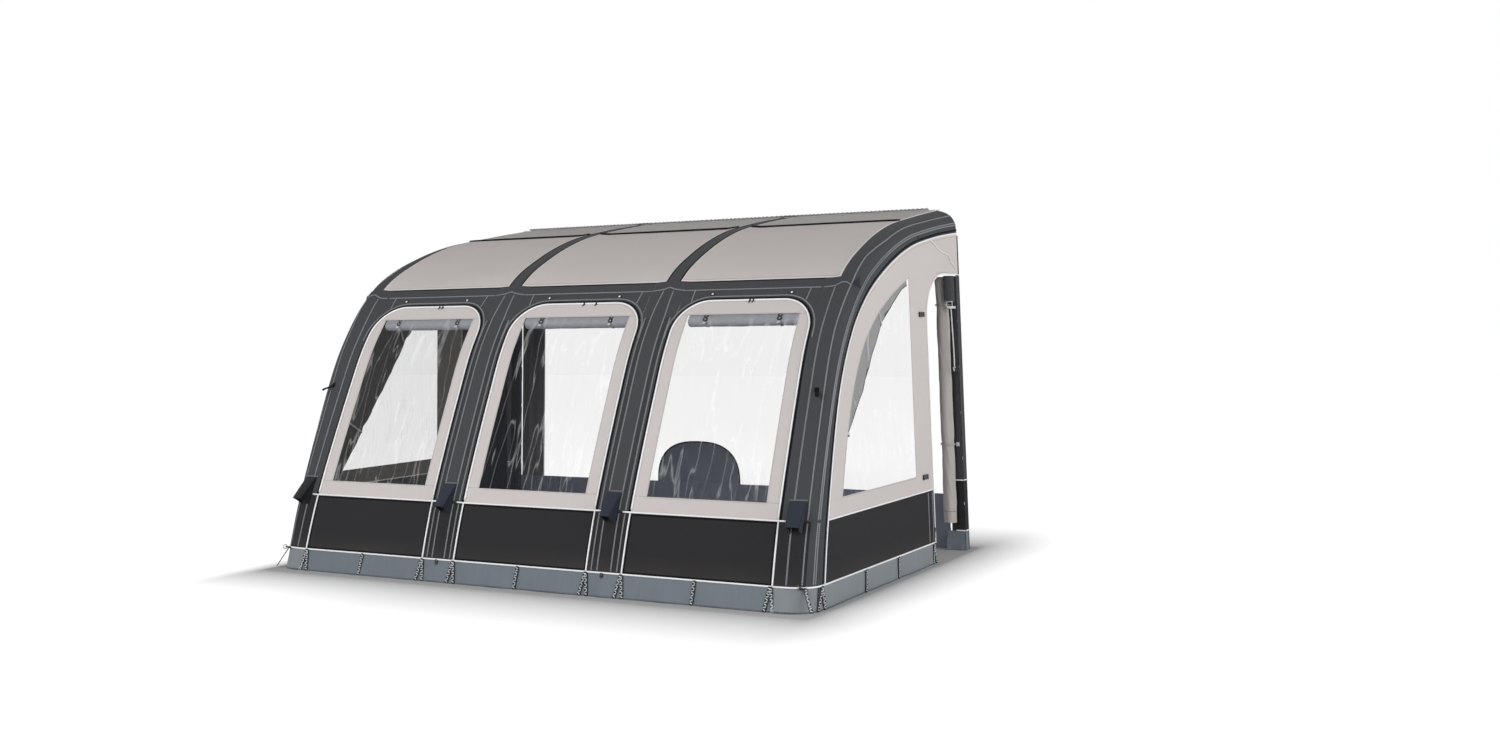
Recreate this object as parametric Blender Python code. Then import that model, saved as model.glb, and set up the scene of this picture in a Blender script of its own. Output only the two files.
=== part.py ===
"""Inflatable porch awning for the side of a caravan, with three front bays and two side walls.

Metres, +Z up, +X along the caravan, +Y towards it. The origin is on the ground under the middle.
Each cloth piece is a thin closed sheet. The front, the roof and the corners share one outer surface,
so neighbouring pieces meet along the same seams. Left and right are as seen from the front.
"""

import math

import bmesh
import bpy
import numpy as np
from mathutils import Vector
from mathutils.geometry import tessellate_polygon

# Overall sizes
AWNING_DEPTH = 2.50
RAIL_HEIGHT = 2.31
WALL_SET_IN = 0.074

# Widths across the front
BAY_WIDTH = 0.976
BAND_WIDTH = 0.243
CORNER_WIDTH = 0.230
ROOF_BAND_WIDTH = 0.106
ROOF_CORNER_REACH = 0.096

# Heights of the seams, and the eave's drop below the rail
SKIRT_HEIGHT = 0.133
PIPING_HEIGHT = 0.475
EAVE_DROP = 0.494

# Cloth and gaps
CLOTH = 0.004
SEAM_GAP = 0.0003
ZIP_GAP = 0.001
BAND_CROWN = 0.008
CROWN_FADE = 0.50
CORNER_CROWN = 0.038
BEAM_GAP = 0.001
CORNER_BEAM_GAP = 0.007

# Front windows, measured along the cloth
CORNICE_WIDTH = 0.168
ARCH_RADIUS = 0.23
WINDOW_SIDE_BORDER = 0.093
WINDOW_BOTTOM_BORDER = 0.098
WINDOW_TOP_BORDER = 0.110
PANE_THICKNESS = 0.002
ROLL_RADIUS = 0.034
ROLL_RISE = 0.012
ROLL_OVERLAP = 0.010
# Place along half a rolled blind and radius there: the toggles draw it in
ROLL_SHARES = [(-1.0, 0.96), (-0.6, 0.84), (-0.52, 0.84), (0.0, 1.0), (0.52, 0.84), (0.6, 0.84), (1.0, 0.96)]

# Side walls
DOOR_FRONT_INSET = 0.624
DOOR_TOP_DROP = 0.279
DOOR_ARCH_WIDTH = 0.33
DOOR_ARCH_HEIGHT = 0.30
DOOR_GROUND_GAP = 0.015
POST_WIDTH = 0.285
SIDE_WINDOW_BORDER = 0.170
SIDE_WINDOW_SILL = 0.105
SIDE_BLIND_WIDTH = 0.200
SIDE_BLIND_LAP = 0.030
SIDE_BLIND_DEPTH = 0.034
SIDE_BLIND_FOLD = 0.006
EDGE_STRIP_WIDTH = 0.060
PAD_WIDTH = 0.120
PAD_DEPTH = 0.045
DOOR_ROLL_RADIUS = 0.046
DOOR_ROLL_FOLD = 0.005
DOOR_ROLL_GROUND_GAP = 0.190
DOOR_ROLL_INSET = 0.090
DOOR_ROLL_TOP_GAP = 0.012

# Hangings against the caravan
HANGING_INSET = 0.030
DRAUGHT_HEIGHT = 0.375
DRAUGHT_WAVE = 0.006
REAR_FLAP_WIDTH = 0.210
REAR_FLAP_GROUND_GAP = 0.300
WHEEL_COVER_WIDTH = 0.700
WHEEL_COVER_HEIGHT = 0.678
WHEEL_COVER_ARCH = 0.300
WHEEL_COVER_OFFSET = -0.175

# Air beams, their valves and caps
BEAM_RADIUS = 0.060
FLANGE_RADIUS = 0.028
FLANGE_THICKNESS = 0.003
VALVE_RADIUS = 0.022
VALVE_LENGTH = 0.012
CAP_RADIUS = 0.021
CAP_THICKNESS = 0.008
CAP_HINGE_RISE = 0.026
CAP_TAB_WIDTH = 0.010
CAP_TAB_END = 0.003
VALVE_GAP = 0.0006

# Beading for the caravan's awning rail
BEAD_RADIUS = 0.0035
BEAD_TAPE_WIDTH = 0.016
BEAD_TAPE_THICKNESS = 0.0015

# Gusseted hoods low on the bands
HOOD_TOP_HEIGHT = 0.581
HOOD_LENGTH = 0.180
HOOD_TOP_WIDTH = 0.092
HOOD_BASE_WIDTH = 0.074
HOOD_FRONT_WIDTH = 0.066
HOOD_STAND_OFF = 0.068
HOOD_MOUTH_RISE = 0.020
HOOD_THICKNESS = 0.003
HOOD_GAP = 0.0006

# Zip sliders of the two side doors
SLIDER_LENGTH = 0.026
SLIDER_WIDTH = 0.008
SLIDER_THICKNESS = 0.006
SLIDER_TAB_LENGTH = 0.042
SLIDER_TAB_THICKNESS = 0.002
SLIDER_EDGE_INSET = 0.004
SLIDER_REST_RISE = 0.070

# Outlines, as shares of the depth and the height
FRONT_SHARES = [
    (0.0, 0.0),
    (0.059, 0.206),
    (0.164, 0.476),
    (0.240, 0.641),
    (0.350, 0.786),
    (0.480, 0.868),
    (0.640, 0.931),
    (0.824, 0.970),
    (1.0, 1.0),
]
SIDE_EDGE_SHARES = [
    (0.074, 0.0),
    (0.115, 0.206),
    (0.192, 0.476),
    (0.276, 0.636),
    (0.376, 0.736),
    (0.504, 0.811),
    (0.656, 0.870),
    (0.832, 0.905),
    (1.0, 0.926),
]
# Width of a gathered side blind along the curve, from the window's foot to its top
SIDE_BLIND_SHARES = [0.24, 0.30, 0.36, 0.40, 0.46, 0.60, 0.76, 0.90]
SIDE_BLIND_SHARES += [1.00, 1.04, 1.00, 0.90, 0.96, 1.00, 0.86, 0.40]
# Radius of the rolled door, from its foot to its top
DOOR_ROLL_SHARES = [0.92, 1.0, 0.98, 0.90, 0.84, 0.92, 0.98, 1.0, 0.98, 0.92, 0.84, 0.90, 0.96, 0.90]

# Where round the corner its beam and its hood lie
BEAM_CORNER_SHARE = 0.5
HOOD_CORNER_SHARE = 0.22

# How square the corners are: at 1 they would be quarter ellipses
CORNER_POWER_SHARE = 0.70

# Angle above which an edge stays sharp
SHARP_ANGLE = math.radians(35)

# How many folds the hangings and rolls have
DRAUGHT_FOLDS = 12
DOOR_ROLL_FOLDS = 3
DOOR_ROLL_TWIST_ANGLE = math.radians(36)

# How finely the curves are cut
CURVE_STEPS = 60
PANEL_COLUMNS = 4
PANEL_SIDE_ROWS = 7
SKIRT_SIDE_COLUMNS = 4
ROOF_EDGE_COLUMNS = 2
ROOF_CORNER_COLUMNS = 3
FRONT_ROWS = 9
ROOF_ROWS = 9
ARCH_STEPS = 6
BAND_COLUMNS = 4
CORNER_COLUMNS = 8
BEAM_SIDES = 11
VALVE_BASE_ROWS = 2
ROUND_SIDES = 12
CORNICE_ROWS = 3
SIDE_BLIND_COLUMNS = 6
HOOD_ROWS = 3
SHARE_STEP = 0.001

# Places worked out from the sizes above
REAR = AWNING_DEPTH / 2
HALF_BAY = BAY_WIDTH / 2
BAND_OUTER = HALF_BAY + BAND_WIDTH
CORNER_START = BAND_OUTER + BAY_WIDTH
HALF_WIDTH = CORNER_START + CORNER_WIDTH
DOOR_FRONT = REAR - DOOR_FRONT_INSET
DOOR_REAR = REAR - EDGE_STRIP_WIDTH
DOOR_HEIGHT = RAIL_HEIGHT * SIDE_EDGE_SHARES[-1][1] - DOOR_TOP_DROP
EAVE_HEIGHT = RAIL_HEIGHT - EAVE_DROP
SIDES = (("left", -1), ("right", 1))


def curve_through(shares):
    """A smooth curve through points given as shares, as an array of (y, z)."""
    points = np.array(shares) * (AWNING_DEPTH, RAIL_HEIGHT) - (AWNING_DEPTH / 2, 0.0)
    ends = np.vstack([2 * points[0] - points[1], points, 2 * points[-1] - points[-2]])
    curve = [points[0]]
    for before, start, end, after in zip(ends, ends[1:], ends[2:], ends[3:]):
        for step in range(1, CURVE_STEPS + 1):
            t = step / CURVE_STEPS
            cubic = (3 * start - before - 3 * end + after) * t**3
            square = (2 * before - 5 * start + 4 * end - after) * t**2
            curve.append((2 * start + (end - before) * t + square + cubic) / 2)
    return np.array(curve)


FRONT_CURVE = curve_through(FRONT_SHARES)
SIDE_EDGE_CURVE = curve_through(SIDE_EDGE_SHARES)
RUNS = np.concatenate([[0.0], np.cumsum(np.linalg.norm(np.diff(FRONT_CURVE, axis=0), axis=1))])
TANGENTS = np.gradient(FRONT_CURVE, RUNS, axis=0)


def read_curve(table, run):
    """The (y, z) row of a table at a distance run along the front curve."""
    return float(np.interp(run, RUNS, table[:, 0])), float(np.interp(run, RUNS, table[:, 1]))


def run_at_height(height):
    return float(np.interp(height, FRONT_CURVE[:, 1], RUNS))


def cut_into(start, end, parts):
    return [start + (end - start) * step / parts for step in range(parts + 1)]


SKIRT_RUN = run_at_height(SKIRT_HEIGHT)
PIPING_RUN = run_at_height(PIPING_HEIGHT)
EAVE_RUN = run_at_height(EAVE_HEIGHT)
ARCH_TOP_RUN = EAVE_RUN - CORNICE_WIDTH
ARCH_FOOT_RUN = ARCH_TOP_RUN - ARCH_RADIUS
ROOF_END_RUN = RUNS[-1] - BEAD_TAPE_WIDTH
LOWER_RUNS = cut_into(SKIRT_RUN, PIPING_RUN, 2)
FRONT_RUNS = cut_into(PIPING_RUN, EAVE_RUN, FRONT_ROWS)
ROOF_RUNS = cut_into(EAVE_RUN, ROOF_END_RUN, ROOF_ROWS)
BAND_RUNS = LOWER_RUNS[:-1] + FRONT_RUNS[:-1] + ROOF_RUNS
BEAM_RUNS = [0.0] + BAND_RUNS
BEAM_REAR = REAR - BEAD_TAPE_WIDTH


def lean(height):
    """How far the side walls have come in at a height."""
    return WALL_SET_IN * height / RAIL_HEIGHT


def crown(x, run):
    """How far a band over a middle beam bulges out, less towards the ground and the rail."""
    share = (abs(x) - HALF_BAY - BAND_WIDTH / 2) / (BAND_WIDTH / 2)
    fade = min(run / CROWN_FADE, (RUNS[-1] - run) / CROWN_FADE, 1.0)
    return BAND_CROWN * max(1 - share**2, 0.0) * fade


def front_point(x, run, out=0.0):
    """A point of the front and roof surface, or past its seam with the corner, moved out along the normal."""
    if abs(x) > CORNER_START:
        return corner_point(math.copysign(1, x), run, corner_share(abs(x) - CORNER_START), out)
    y, z = read_curve(FRONT_CURVE, run)
    out += crown(x, run)
    along_y, along_z = read_curve(TANGENTS, run)
    size = math.hypot(along_y, along_z)
    outer_share = min(max((abs(x) - BAND_OUTER) / BAY_WIDTH, 0.0), 1.0)
    x -= math.copysign(outer_share * lean(z), x)
    return Vector((x, y - out * along_z / size, z + out * along_y / size))


def squared(ratio):
    """A sine or cosine bent so that a round corner becomes a fuller one."""
    return math.copysign(abs(ratio) ** CORNER_POWER_SHARE, ratio)


def corner_skin(side, run, share):
    """A point of the rounded corner, from the front seam at share 0 to the side seam at share 1."""
    front = Vector(read_curve(FRONT_CURVE, run))
    edge = Vector(read_curve(SIDE_EDGE_CURVE, run))
    angle = share * math.pi / 2
    y, z = front + (1 - squared(math.cos(angle))) * (edge - front)
    return Vector((side * (CORNER_START + CORNER_WIDTH * squared(math.sin(angle)) - lean(z)), y, z))


def corner_share(reach):
    """The share across the corner of a point that far out past the front seam."""
    return math.asin((reach / CORNER_WIDTH) ** (1 / CORNER_POWER_SHARE)) / (math.pi / 2)


def corner_axes(side, run, share):
    """Unit vectors across, along and out of the corner's skin."""
    reach = RUNS[-1] * SHARE_STEP
    across = corner_skin(side, run, share + SHARE_STEP) - corner_skin(side, run, share - SHARE_STEP)
    along = corner_skin(side, run + reach, share) - corner_skin(side, run - reach, share)
    outward = across.cross(along) * side
    return across.normalized(), along.normalized(), outward.normalized()


def corner_point(side, run, share, out=0.0):
    """A point of the corner's cloth, which the beam inside pushes out most at the eave."""
    rise = min(max((run - PIPING_RUN) / (RUNS[-1] - PIPING_RUN), 0.0), 1.0)
    out += CORNER_CROWN * math.sin(math.pi * share) ** 2 * math.sin(math.pi * rise) ** 3
    return corner_skin(side, run, share) + out * corner_axes(side, run, share)[2]


def wall_point(side, y, z, out=0.0):
    """A point of a side wall's plane, which leans in, moved out along its normal."""
    outward = Vector((side, 0.0, WALL_SET_IN / RAIL_HEIGHT)).normalized()
    return Vector((side * (HALF_WIDTH - lean(z)), y, z)) + out * outward


def material(name, colour, roughness=0.8, metallic=0.0, alpha=1.0):
    made = bpy.data.materials.new(name)
    made.use_nodes = True
    made.diffuse_color = (*colour, alpha)
    shader = made.node_tree.nodes["Principled BSDF"]
    shader.inputs["Base Color"].default_value = (*colour, 1.0)
    shader.inputs["Roughness"].default_value = roughness
    shader.inputs["Metallic"].default_value = metallic
    shader.inputs["Alpha"].default_value = alpha
    return made


def add_object(name, mesh_builder, finish, origin=(0.0, 0.0, 0.0), parent=None):
    """An object from a bmesh in world places, with its origin at a point, under a parent if it has one."""
    bmesh.ops.recalc_face_normals(mesh_builder, faces=mesh_builder.faces)
    bmesh.ops.translate(mesh_builder, verts=mesh_builder.verts, vec=-Vector(origin))
    mesh = bpy.data.meshes.new(name)
    mesh_builder.to_mesh(mesh)
    mesh_builder.free()
    mesh.materials.append(finish)
    mesh.shade_smooth()
    mesh.set_sharp_from_angle(angle=SHARP_ANGLE)
    made = bpy.data.objects.new(name, mesh)
    made.location = Vector(origin) - (parent.location if parent else Vector())
    made.parent = parent
    bpy.context.scene.collection.objects.link(made)
    return made


def add_axis(name, place):
    """An empty on a joint's axis, which carries the pieces of one moving body."""
    made = bpy.data.objects.new(name, None)
    made.location = place
    bpy.context.scene.collection.objects.link(made)
    return made


def loft(loops, cyclic=False, strip_ends=False):
    """A closed solid through loops of equal length. Strip ends suit loops that go out and come back."""
    built = bmesh.new()
    rings = [[built.verts.new(point) for point in loop] for loop in loops]
    count = len(rings[0])
    followers = rings[1:] + rings[:1] if cyclic else rings[1:]
    for ring, follower in zip(rings, followers):
        for i in range(count):
            j = (i + 1) % count
            built.faces.new((ring[i], ring[j], follower[j], follower[i]))
    if not cyclic:
        for ring in (rings[0], rings[-1]):
            if not strip_ends:
                built.faces.new(ring)
                continue
            for i in range(count // 2 - 1):
                built.faces.new((ring[i], ring[i + 1], ring[-2 - i], ring[-1 - i]))
    return built


def plate(outlines, place, outer, inner):
    """A flat sheet between two depths, from outlines in the plane: the edge first, then any holes."""
    built = bmesh.new()
    layers = []
    for depth in (outer, inner):
        layers.append([[built.verts.new(place(a, b, depth)) for a, b in outline] for outline in outlines])
    flat = [[Vector((a, b, 0.0)) for a, b in outline] for outline in outlines]
    triangles = tessellate_polygon(flat)
    for layer in layers:
        corners = [vertex for outline in layer for vertex in outline]
        for triangle in triangles:
            built.faces.new([corners[index] for index in triangle])
    for upper, lower in zip(*layers):
        for i in range(len(upper)):
            j = (i + 1) % len(upper)
            built.faces.new((upper[i], upper[j], lower[j], lower[i]))
    return built


def sheet_loops(rows, columns, place, outer, inner):
    """Loops of a cloth sheet: out along the columns at one depth and back at the other."""
    loops = []
    for row in rows:
        front = [place(column, row, outer) for column in columns]
        back = [place(column, row, inner) for column in reversed(columns)]
        loops.append(front + back)
    return loops


def circle(radius, sides, start=0.0):
    step = 2 * math.pi / sides
    return [(radius * math.cos(start + step * i), radius * math.sin(start + step * i)) for i in range(sides)]


def turned(centre, axis, reference, profile, sides=ROUND_SIDES):
    """A solid turned about an axis, from (radius, height) pairs."""
    other = axis.cross(reference)
    loops = []
    for radius, height in profile:
        loops.append([centre + a * reference + b * other + height * axis for a, b in circle(radius, sides)])
    return loft(loops)


def bay_centres():
    step = BAY_WIDTH + BAND_WIDTH
    return (("left", -step), ("middle", 0.0), ("right", step))


def arch_outline(centre, inset):
    """A bay panel's arch from its right foot over the top to its left foot, as (x, run) pairs."""
    radius = ARCH_RADIUS - inset
    reach = HALF_BAY - ARCH_RADIUS
    points = []
    for turn, side in ((0.0, 1), (math.pi / 2, -1)):
        for step in range(ARCH_STEPS + 1):
            angle = turn + step / ARCH_STEPS * math.pi / 2
            x = centre + side * reach + radius * math.cos(angle)
            points.append((x, ARCH_FOOT_RUN + radius * math.sin(angle)))
    return points


def split_line(corners, counts):
    """Points along straight lines between corners, each line cut into its own number of steps."""
    points = []
    for start, end, count in zip(corners, corners[1:] + corners[:1], counts):
        for step in range(count):
            share = step / count
            points.append((start[0] + share * (end[0] - start[0]), start[1] + share * (end[1] - start[1])))
    return points


def window_runs():
    return PIPING_RUN + WINDOW_BOTTOM_BORDER, ARCH_TOP_RUN - WINDOW_TOP_BORDER


def add_front_panel(place, centre, finishes):
    """A zipped window panel with its clear pane and its rolled blind, on a hinge along its lower seam."""
    axis = add_axis(f"front_panel_{place}_axis", front_point(centre, PIPING_RUN))
    half = HALF_BAY - ZIP_GAP
    foot = PIPING_RUN + SEAM_GAP / 2
    outline = split_line([(centre - half, foot), (centre + half, foot)], [PANEL_COLUMNS, 0])
    outline += split_line([(centre + half, foot), (centre + half, ARCH_FOOT_RUN)], [PANEL_SIDE_ROWS, 0])
    outline += arch_outline(centre, ZIP_GAP)
    outline += split_line([(centre - half, ARCH_FOOT_RUN), (centre - half, foot)], [PANEL_SIDE_ROWS, 0])[1:]
    low, high = window_runs()
    half_window = HALF_BAY - WINDOW_SIDE_BORDER
    corners = [
        (centre - half_window, low),
        (centre + half_window, low),
        (centre + half_window, high),
        (centre - half_window, high),
    ]
    rising = PANEL_SIDE_ROWS + ARCH_STEPS // 2
    over = 2 * ARCH_STEPS + 1 - 2 * (ARCH_STEPS // 2)
    hole = split_line(corners, [PANEL_COLUMNS, rising, over, rising])
    loops = []
    for outer, inner in zip(outline, hole):
        face = [front_point(*outer), front_point(*inner)]
        back = [front_point(*inner, -CLOTH), front_point(*outer, -CLOTH)]
        loops.append(face + back)
    panel = loft(loops, cyclic=True)
    add_object(f"front_panel_{place}", panel, finishes["light"], axis.location, axis)

    depth = (CLOTH - PANE_THICKNESS) / 2
    rows = cut_into(low + SEAM_GAP, high - SEAM_GAP, rising)
    columns = [centre - half_window + SEAM_GAP, centre + half_window - SEAM_GAP]
    pane = loft(sheet_loops(rows, columns, front_point, -depth, depth - CLOTH), strip_ends=True)
    add_object(f"front_window_{place}", pane, finishes["clear"], axis.location, axis)

    run = high - ROLL_RADIUS + ROLL_RISE
    reach = half_window + ROLL_OVERLAP
    middle = front_point(centre, run, -CLOTH - SEAM_GAP - ROLL_RADIUS)
    outward = (front_point(centre, run, ROLL_RADIUS) - front_point(centre, run)).normalized()
    right = Vector((1.0, 0.0, 0.0))
    profile = [(ROLL_RADIUS * radius_share, reach * share) for share, radius_share in ROLL_SHARES]
    roll = turned(middle, right, outward, profile)
    add_object(f"window_blind_{place}", roll, finishes["blind"], axis.location, axis)


def add_cornice(place, centre, finishes):
    """The dark cloth over a bay's arch, up to the eave."""
    half = HALF_BAY - SEAM_GAP / 2
    arch = [(x, run + SEAM_GAP) for x, run in reversed(arch_outline(centre, 0.0))]
    arch[0] = (centre - half, arch[0][1])
    arch[-1] = (centre + half, arch[-1][1])
    top = EAVE_RUN - SEAM_GAP / 2
    loops = []
    for x, foot in arch:
        runs = cut_into(foot, top, CORNICE_ROWS)
        face = [front_point(x, run) for run in runs]
        back = [front_point(x, run, -CLOTH) for run in reversed(runs)]
        loops.append(face + back)
    add_object(f"cornice_{place}", loft(loops, strip_ends=True), finishes["dark"])


def roof_columns(place):
    """Columns of a roof panel, which laps over the bands' edges and a little way round the corners."""
    half_gap = SEAM_GAP / 2
    lap = (BAND_WIDTH - ROOF_BAND_WIDTH) / 2
    if place == "middle":
        edge = cut_into(HALF_BAY, HALF_BAY + lap - half_gap, ROOF_EDGE_COLUMNS)
        return [-x for x in reversed(edge)] + edge
    columns = cut_into(BAND_OUTER - lap + half_gap, BAND_OUTER, ROOF_EDGE_COLUMNS) + [CORNER_START]
    columns += cut_into(CORNER_START, CORNER_START + ROOF_CORNER_REACH - half_gap, ROOF_CORNER_COLUMNS)[1:]
    return [-x for x in reversed(columns)] if place == "left" else columns


def add_bays(finishes):
    """Everything between two beams: lower panel, window panel, cornice and roof."""
    for place, centre in bay_centres():
        half = HALF_BAY - SEAM_GAP / 2
        columns = [centre - half, centre + half]
        rows = LOWER_RUNS[:-1] + [PIPING_RUN - SEAM_GAP / 2]
        lower = loft(sheet_loops(rows, columns, front_point, 0.0, -CLOTH), strip_ends=True)
        add_object(f"lower_panel_{place}", lower, finishes["black"])
        add_front_panel(place, centre, finishes)
        add_cornice(place, centre, finishes)
        rows = [ROOF_RUNS[0] + SEAM_GAP / 2] + ROOF_RUNS[1:]
        roof = loft(sheet_loops(rows, roof_columns(place), front_point, 0.0, -CLOTH), strip_ends=True)
        add_object(f"roof_{place}", roof, finishes["light"])


def add_bands(finishes):
    """The bands over the two middle beams and the ones that wrap the corners, both narrower on the roof."""
    eave = [EAVE_RUN - SEAM_GAP / 2, EAVE_RUN + SEAM_GAP / 2]
    rows = [run for run in BAND_RUNS if run < EAVE_RUN] + eave + ROOF_RUNS[1:]
    gap_share = corner_share(SEAM_GAP)
    roof_share = corner_share(ROOF_CORNER_REACH + SEAM_GAP / 2)
    for place, side in SIDES:

        def place_middle(share, run, out, side=side):
            width = (BAND_WIDTH if run < EAVE_RUN else ROOF_BAND_WIDTH) - SEAM_GAP
            return front_point(side * (HALF_BAY + BAND_WIDTH / 2 + share * width), run, out)

        def place_corner(share, run, out, side=side):
            start = gap_share if run < EAVE_RUN else roof_share
            return corner_point(side, run, start + share * (1 - gap_share - start), out)

        columns = cut_into(-0.5, 0.5, BAND_COLUMNS)
        band = loft(sheet_loops(rows, columns, place_middle, 0.0, -CLOTH), strip_ends=True)
        add_object(f"beam_band_{place}", band, finishes["dark"])
        columns = cut_into(0.0, 1.0, CORNER_COLUMNS)
        corner = loft(sheet_loops(rows, columns, place_corner, 0.0, -CLOTH), strip_ends=True)
        add_object(f"corner_band_{place}", corner, finishes["dark"])


def beam_centre(place, side, run):
    """Centre of a beam at a run, with unit vectors along it and out through the skin that it presses on."""
    if place == "corner":
        along, outward = corner_axes(side, run, BEAM_CORNER_SHARE)[1:]
        skin = corner_point(side, run, BEAM_CORNER_SHARE)
        return skin - (CLOTH + CORNER_BEAM_GAP + BEAM_RADIUS) * outward, along, outward
    x = side * (HALF_BAY + BAND_WIDTH / 2)
    skin = front_point(x, run)
    outward = (front_point(x, run, BEAM_RADIUS) - skin).normalized()
    along = Vector((0.0, outward.z, -outward.y))
    return skin - (CLOTH + BEAM_GAP + BEAM_RADIUS) * outward, along, outward


def add_beams(finishes):
    """Four air beams from the ground to the rail, each with a valve inside near its foot and a hinged cap."""
    places = [("corner", "left", -1), ("middle", "left", -1), ("middle", "right", 1), ("corner", "right", 1)]
    for kind, place, side in places:
        name = f"{place}_{kind}"
        loops = []
        for run in BEAM_RUNS:
            centre, along, outward = beam_centre(kind, side, run)
            across = along.cross(outward)
            ring = [centre + a * outward + b * across for a, b in circle(BEAM_RADIUS, BEAM_SIDES)]
            if run == BEAM_RUNS[0]:
                ring = [point - along * (point.z / along.z) for point in ring]
            if run == BEAM_RUNS[-1]:
                ring = [point - along * ((point.y - BEAM_REAR) / along.y) for point in ring]
            loops.append(ring)
        add_object(f"air_beam_{name}", loft(loops), finishes["beam"])

        foot, head = (beam_centre(kind, side, run) for run in BEAM_RUNS[VALVE_BASE_ROWS : VALVE_BASE_ROWS + 2])
        along = (head[0] - foot[0]).normalized()
        inward = -(foot[2] + head[2])
        inward = (inward - inward.dot(along) * along).normalized()
        flat = BEAM_RADIUS * math.cos(math.pi / BEAM_SIDES)
        base = (foot[0] + head[0]) / 2 + (flat + VALVE_GAP) * inward
        profile = [
            (FLANGE_RADIUS, 0.0),
            (FLANGE_RADIUS, FLANGE_THICKNESS),
            (VALVE_RADIUS, FLANGE_THICKNESS),
            (VALVE_RADIUS, VALVE_LENGTH),
        ]
        add_object(f"valve_{name}", turned(base, inward, along, profile), finishes["plastic"])

        low = VALVE_LENGTH + SEAM_GAP
        hinge = base + CAP_HINGE_RISE * along + low * inward
        half_tab = CAP_TAB_WIDTH / 2
        tab_angle = math.asin(half_tab / CAP_RADIUS)
        rim = []
        for angle in cut_into(tab_angle, 2 * math.pi - tab_angle, ROUND_SIDES):
            rim.append((CAP_RADIUS * math.cos(angle), CAP_RADIUS * math.sin(angle)))
        tab = [(CAP_HINGE_RISE + CAP_TAB_END, -half_tab), (CAP_HINGE_RISE + CAP_TAB_END, half_tab)]
        across = inward.cross(along)

        def place_cap(a, b, height, base=base, along=along, across=across, inward=inward):
            return base + a * along + b * across + height * inward

        cap = plate([rim + tab], place_cap, low + CAP_THICKNESS, low)
        add_object(f"valve_cap_{name}", cap, finishes["plastic"], hinge)


def edge_offset(inset):
    """The side edge curve moved in by an inset within the wall, as an array of (y, z)."""
    along = np.gradient(SIDE_EDGE_CURVE, axis=0)
    along /= np.linalg.norm(along, axis=1)[:, None]
    return SIDE_EDGE_CURVE + inset * np.stack([along[:, 1], -along[:, 0]], axis=1)


def side_window_curve(inset=0.0):
    """The window's curved edge from its sill to its rear edge, as (y, z) pairs."""
    curve = edge_offset(SIDE_WINDOW_BORDER + inset)
    start = float(np.interp(PIPING_HEIGHT + SIDE_WINDOW_SILL + inset, curve[:, 1], RUNS))
    end = float(np.interp(DOOR_FRONT - POST_WIDTH - inset, curve[:, 0], RUNS))
    return [read_curve(curve, run) for run in cut_into(start, end, len(SIDE_BLIND_SHARES) - 1)]


def side_window_outline(inset=0.0):
    curve = side_window_curve(inset)
    return [(DOOR_FRONT - POST_WIDTH - inset, PIPING_HEIGHT + SIDE_WINDOW_SILL + inset)] + curve


def door_outline(inset, foot):
    """A door from its rear foot over the arch to its front foot, as (y, z) pairs."""
    front = DOOR_FRONT + inset
    top = DOOR_HEIGHT - inset
    points = [(DOOR_REAR, foot), (DOOR_REAR, top)]
    for angle in cut_into(math.pi / 2, math.pi, ARCH_STEPS):
        y = front + DOOR_ARCH_WIDTH * (1 + math.cos(angle))
        z = top - DOOR_ARCH_HEIGHT + DOOR_ARCH_HEIGHT * math.sin(angle)
        points.append((y, z))
    return points + [(front, foot)]


def add_side(place, side, finishes):
    """A side wall with its window, gathered blind and lower panel."""

    def on_wall(y, z, out):
        return wall_point(side, y, z, out)

    curve = edge_offset(SEAM_GAP * 2)

    def edge_run(height):
        return float(np.interp(height, curve[:, 1], RUNS))

    seam_run = edge_run(PIPING_HEIGHT)
    edge = [read_curve(curve, run) for run in BAND_RUNS if run >= seam_run]
    door = door_outline(0.0, PIPING_HEIGHT)[1:]
    wall = [read_curve(curve, seam_run)] + edge + [(edge[-1][0], DOOR_HEIGHT)] + door
    walls = plate([wall, side_window_outline()], on_wall, 0.0, -CLOTH)
    add_object(f"side_wall_{place}", walls, finishes["light"])

    depth = (CLOTH - PANE_THICKNESS) / 2
    pane = plate([side_window_outline(SEAM_GAP)], on_wall, -depth, depth - CLOTH)
    add_object(f"side_window_{place}", pane, finishes["clear"])

    top = PIPING_HEIGHT - SEAM_GAP
    lower = [read_curve(curve, edge_run(SKIRT_HEIGHT)), read_curve(curve, edge_run(top))]
    lower += [(DOOR_FRONT, top), (DOOR_FRONT, SKIRT_HEIGHT)]
    add_object(f"side_lower_panel_{place}", plate([lower], on_wall, 0.0, -CLOTH), finishes["black"])
    add_side_blind(place, side, finishes)


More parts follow.
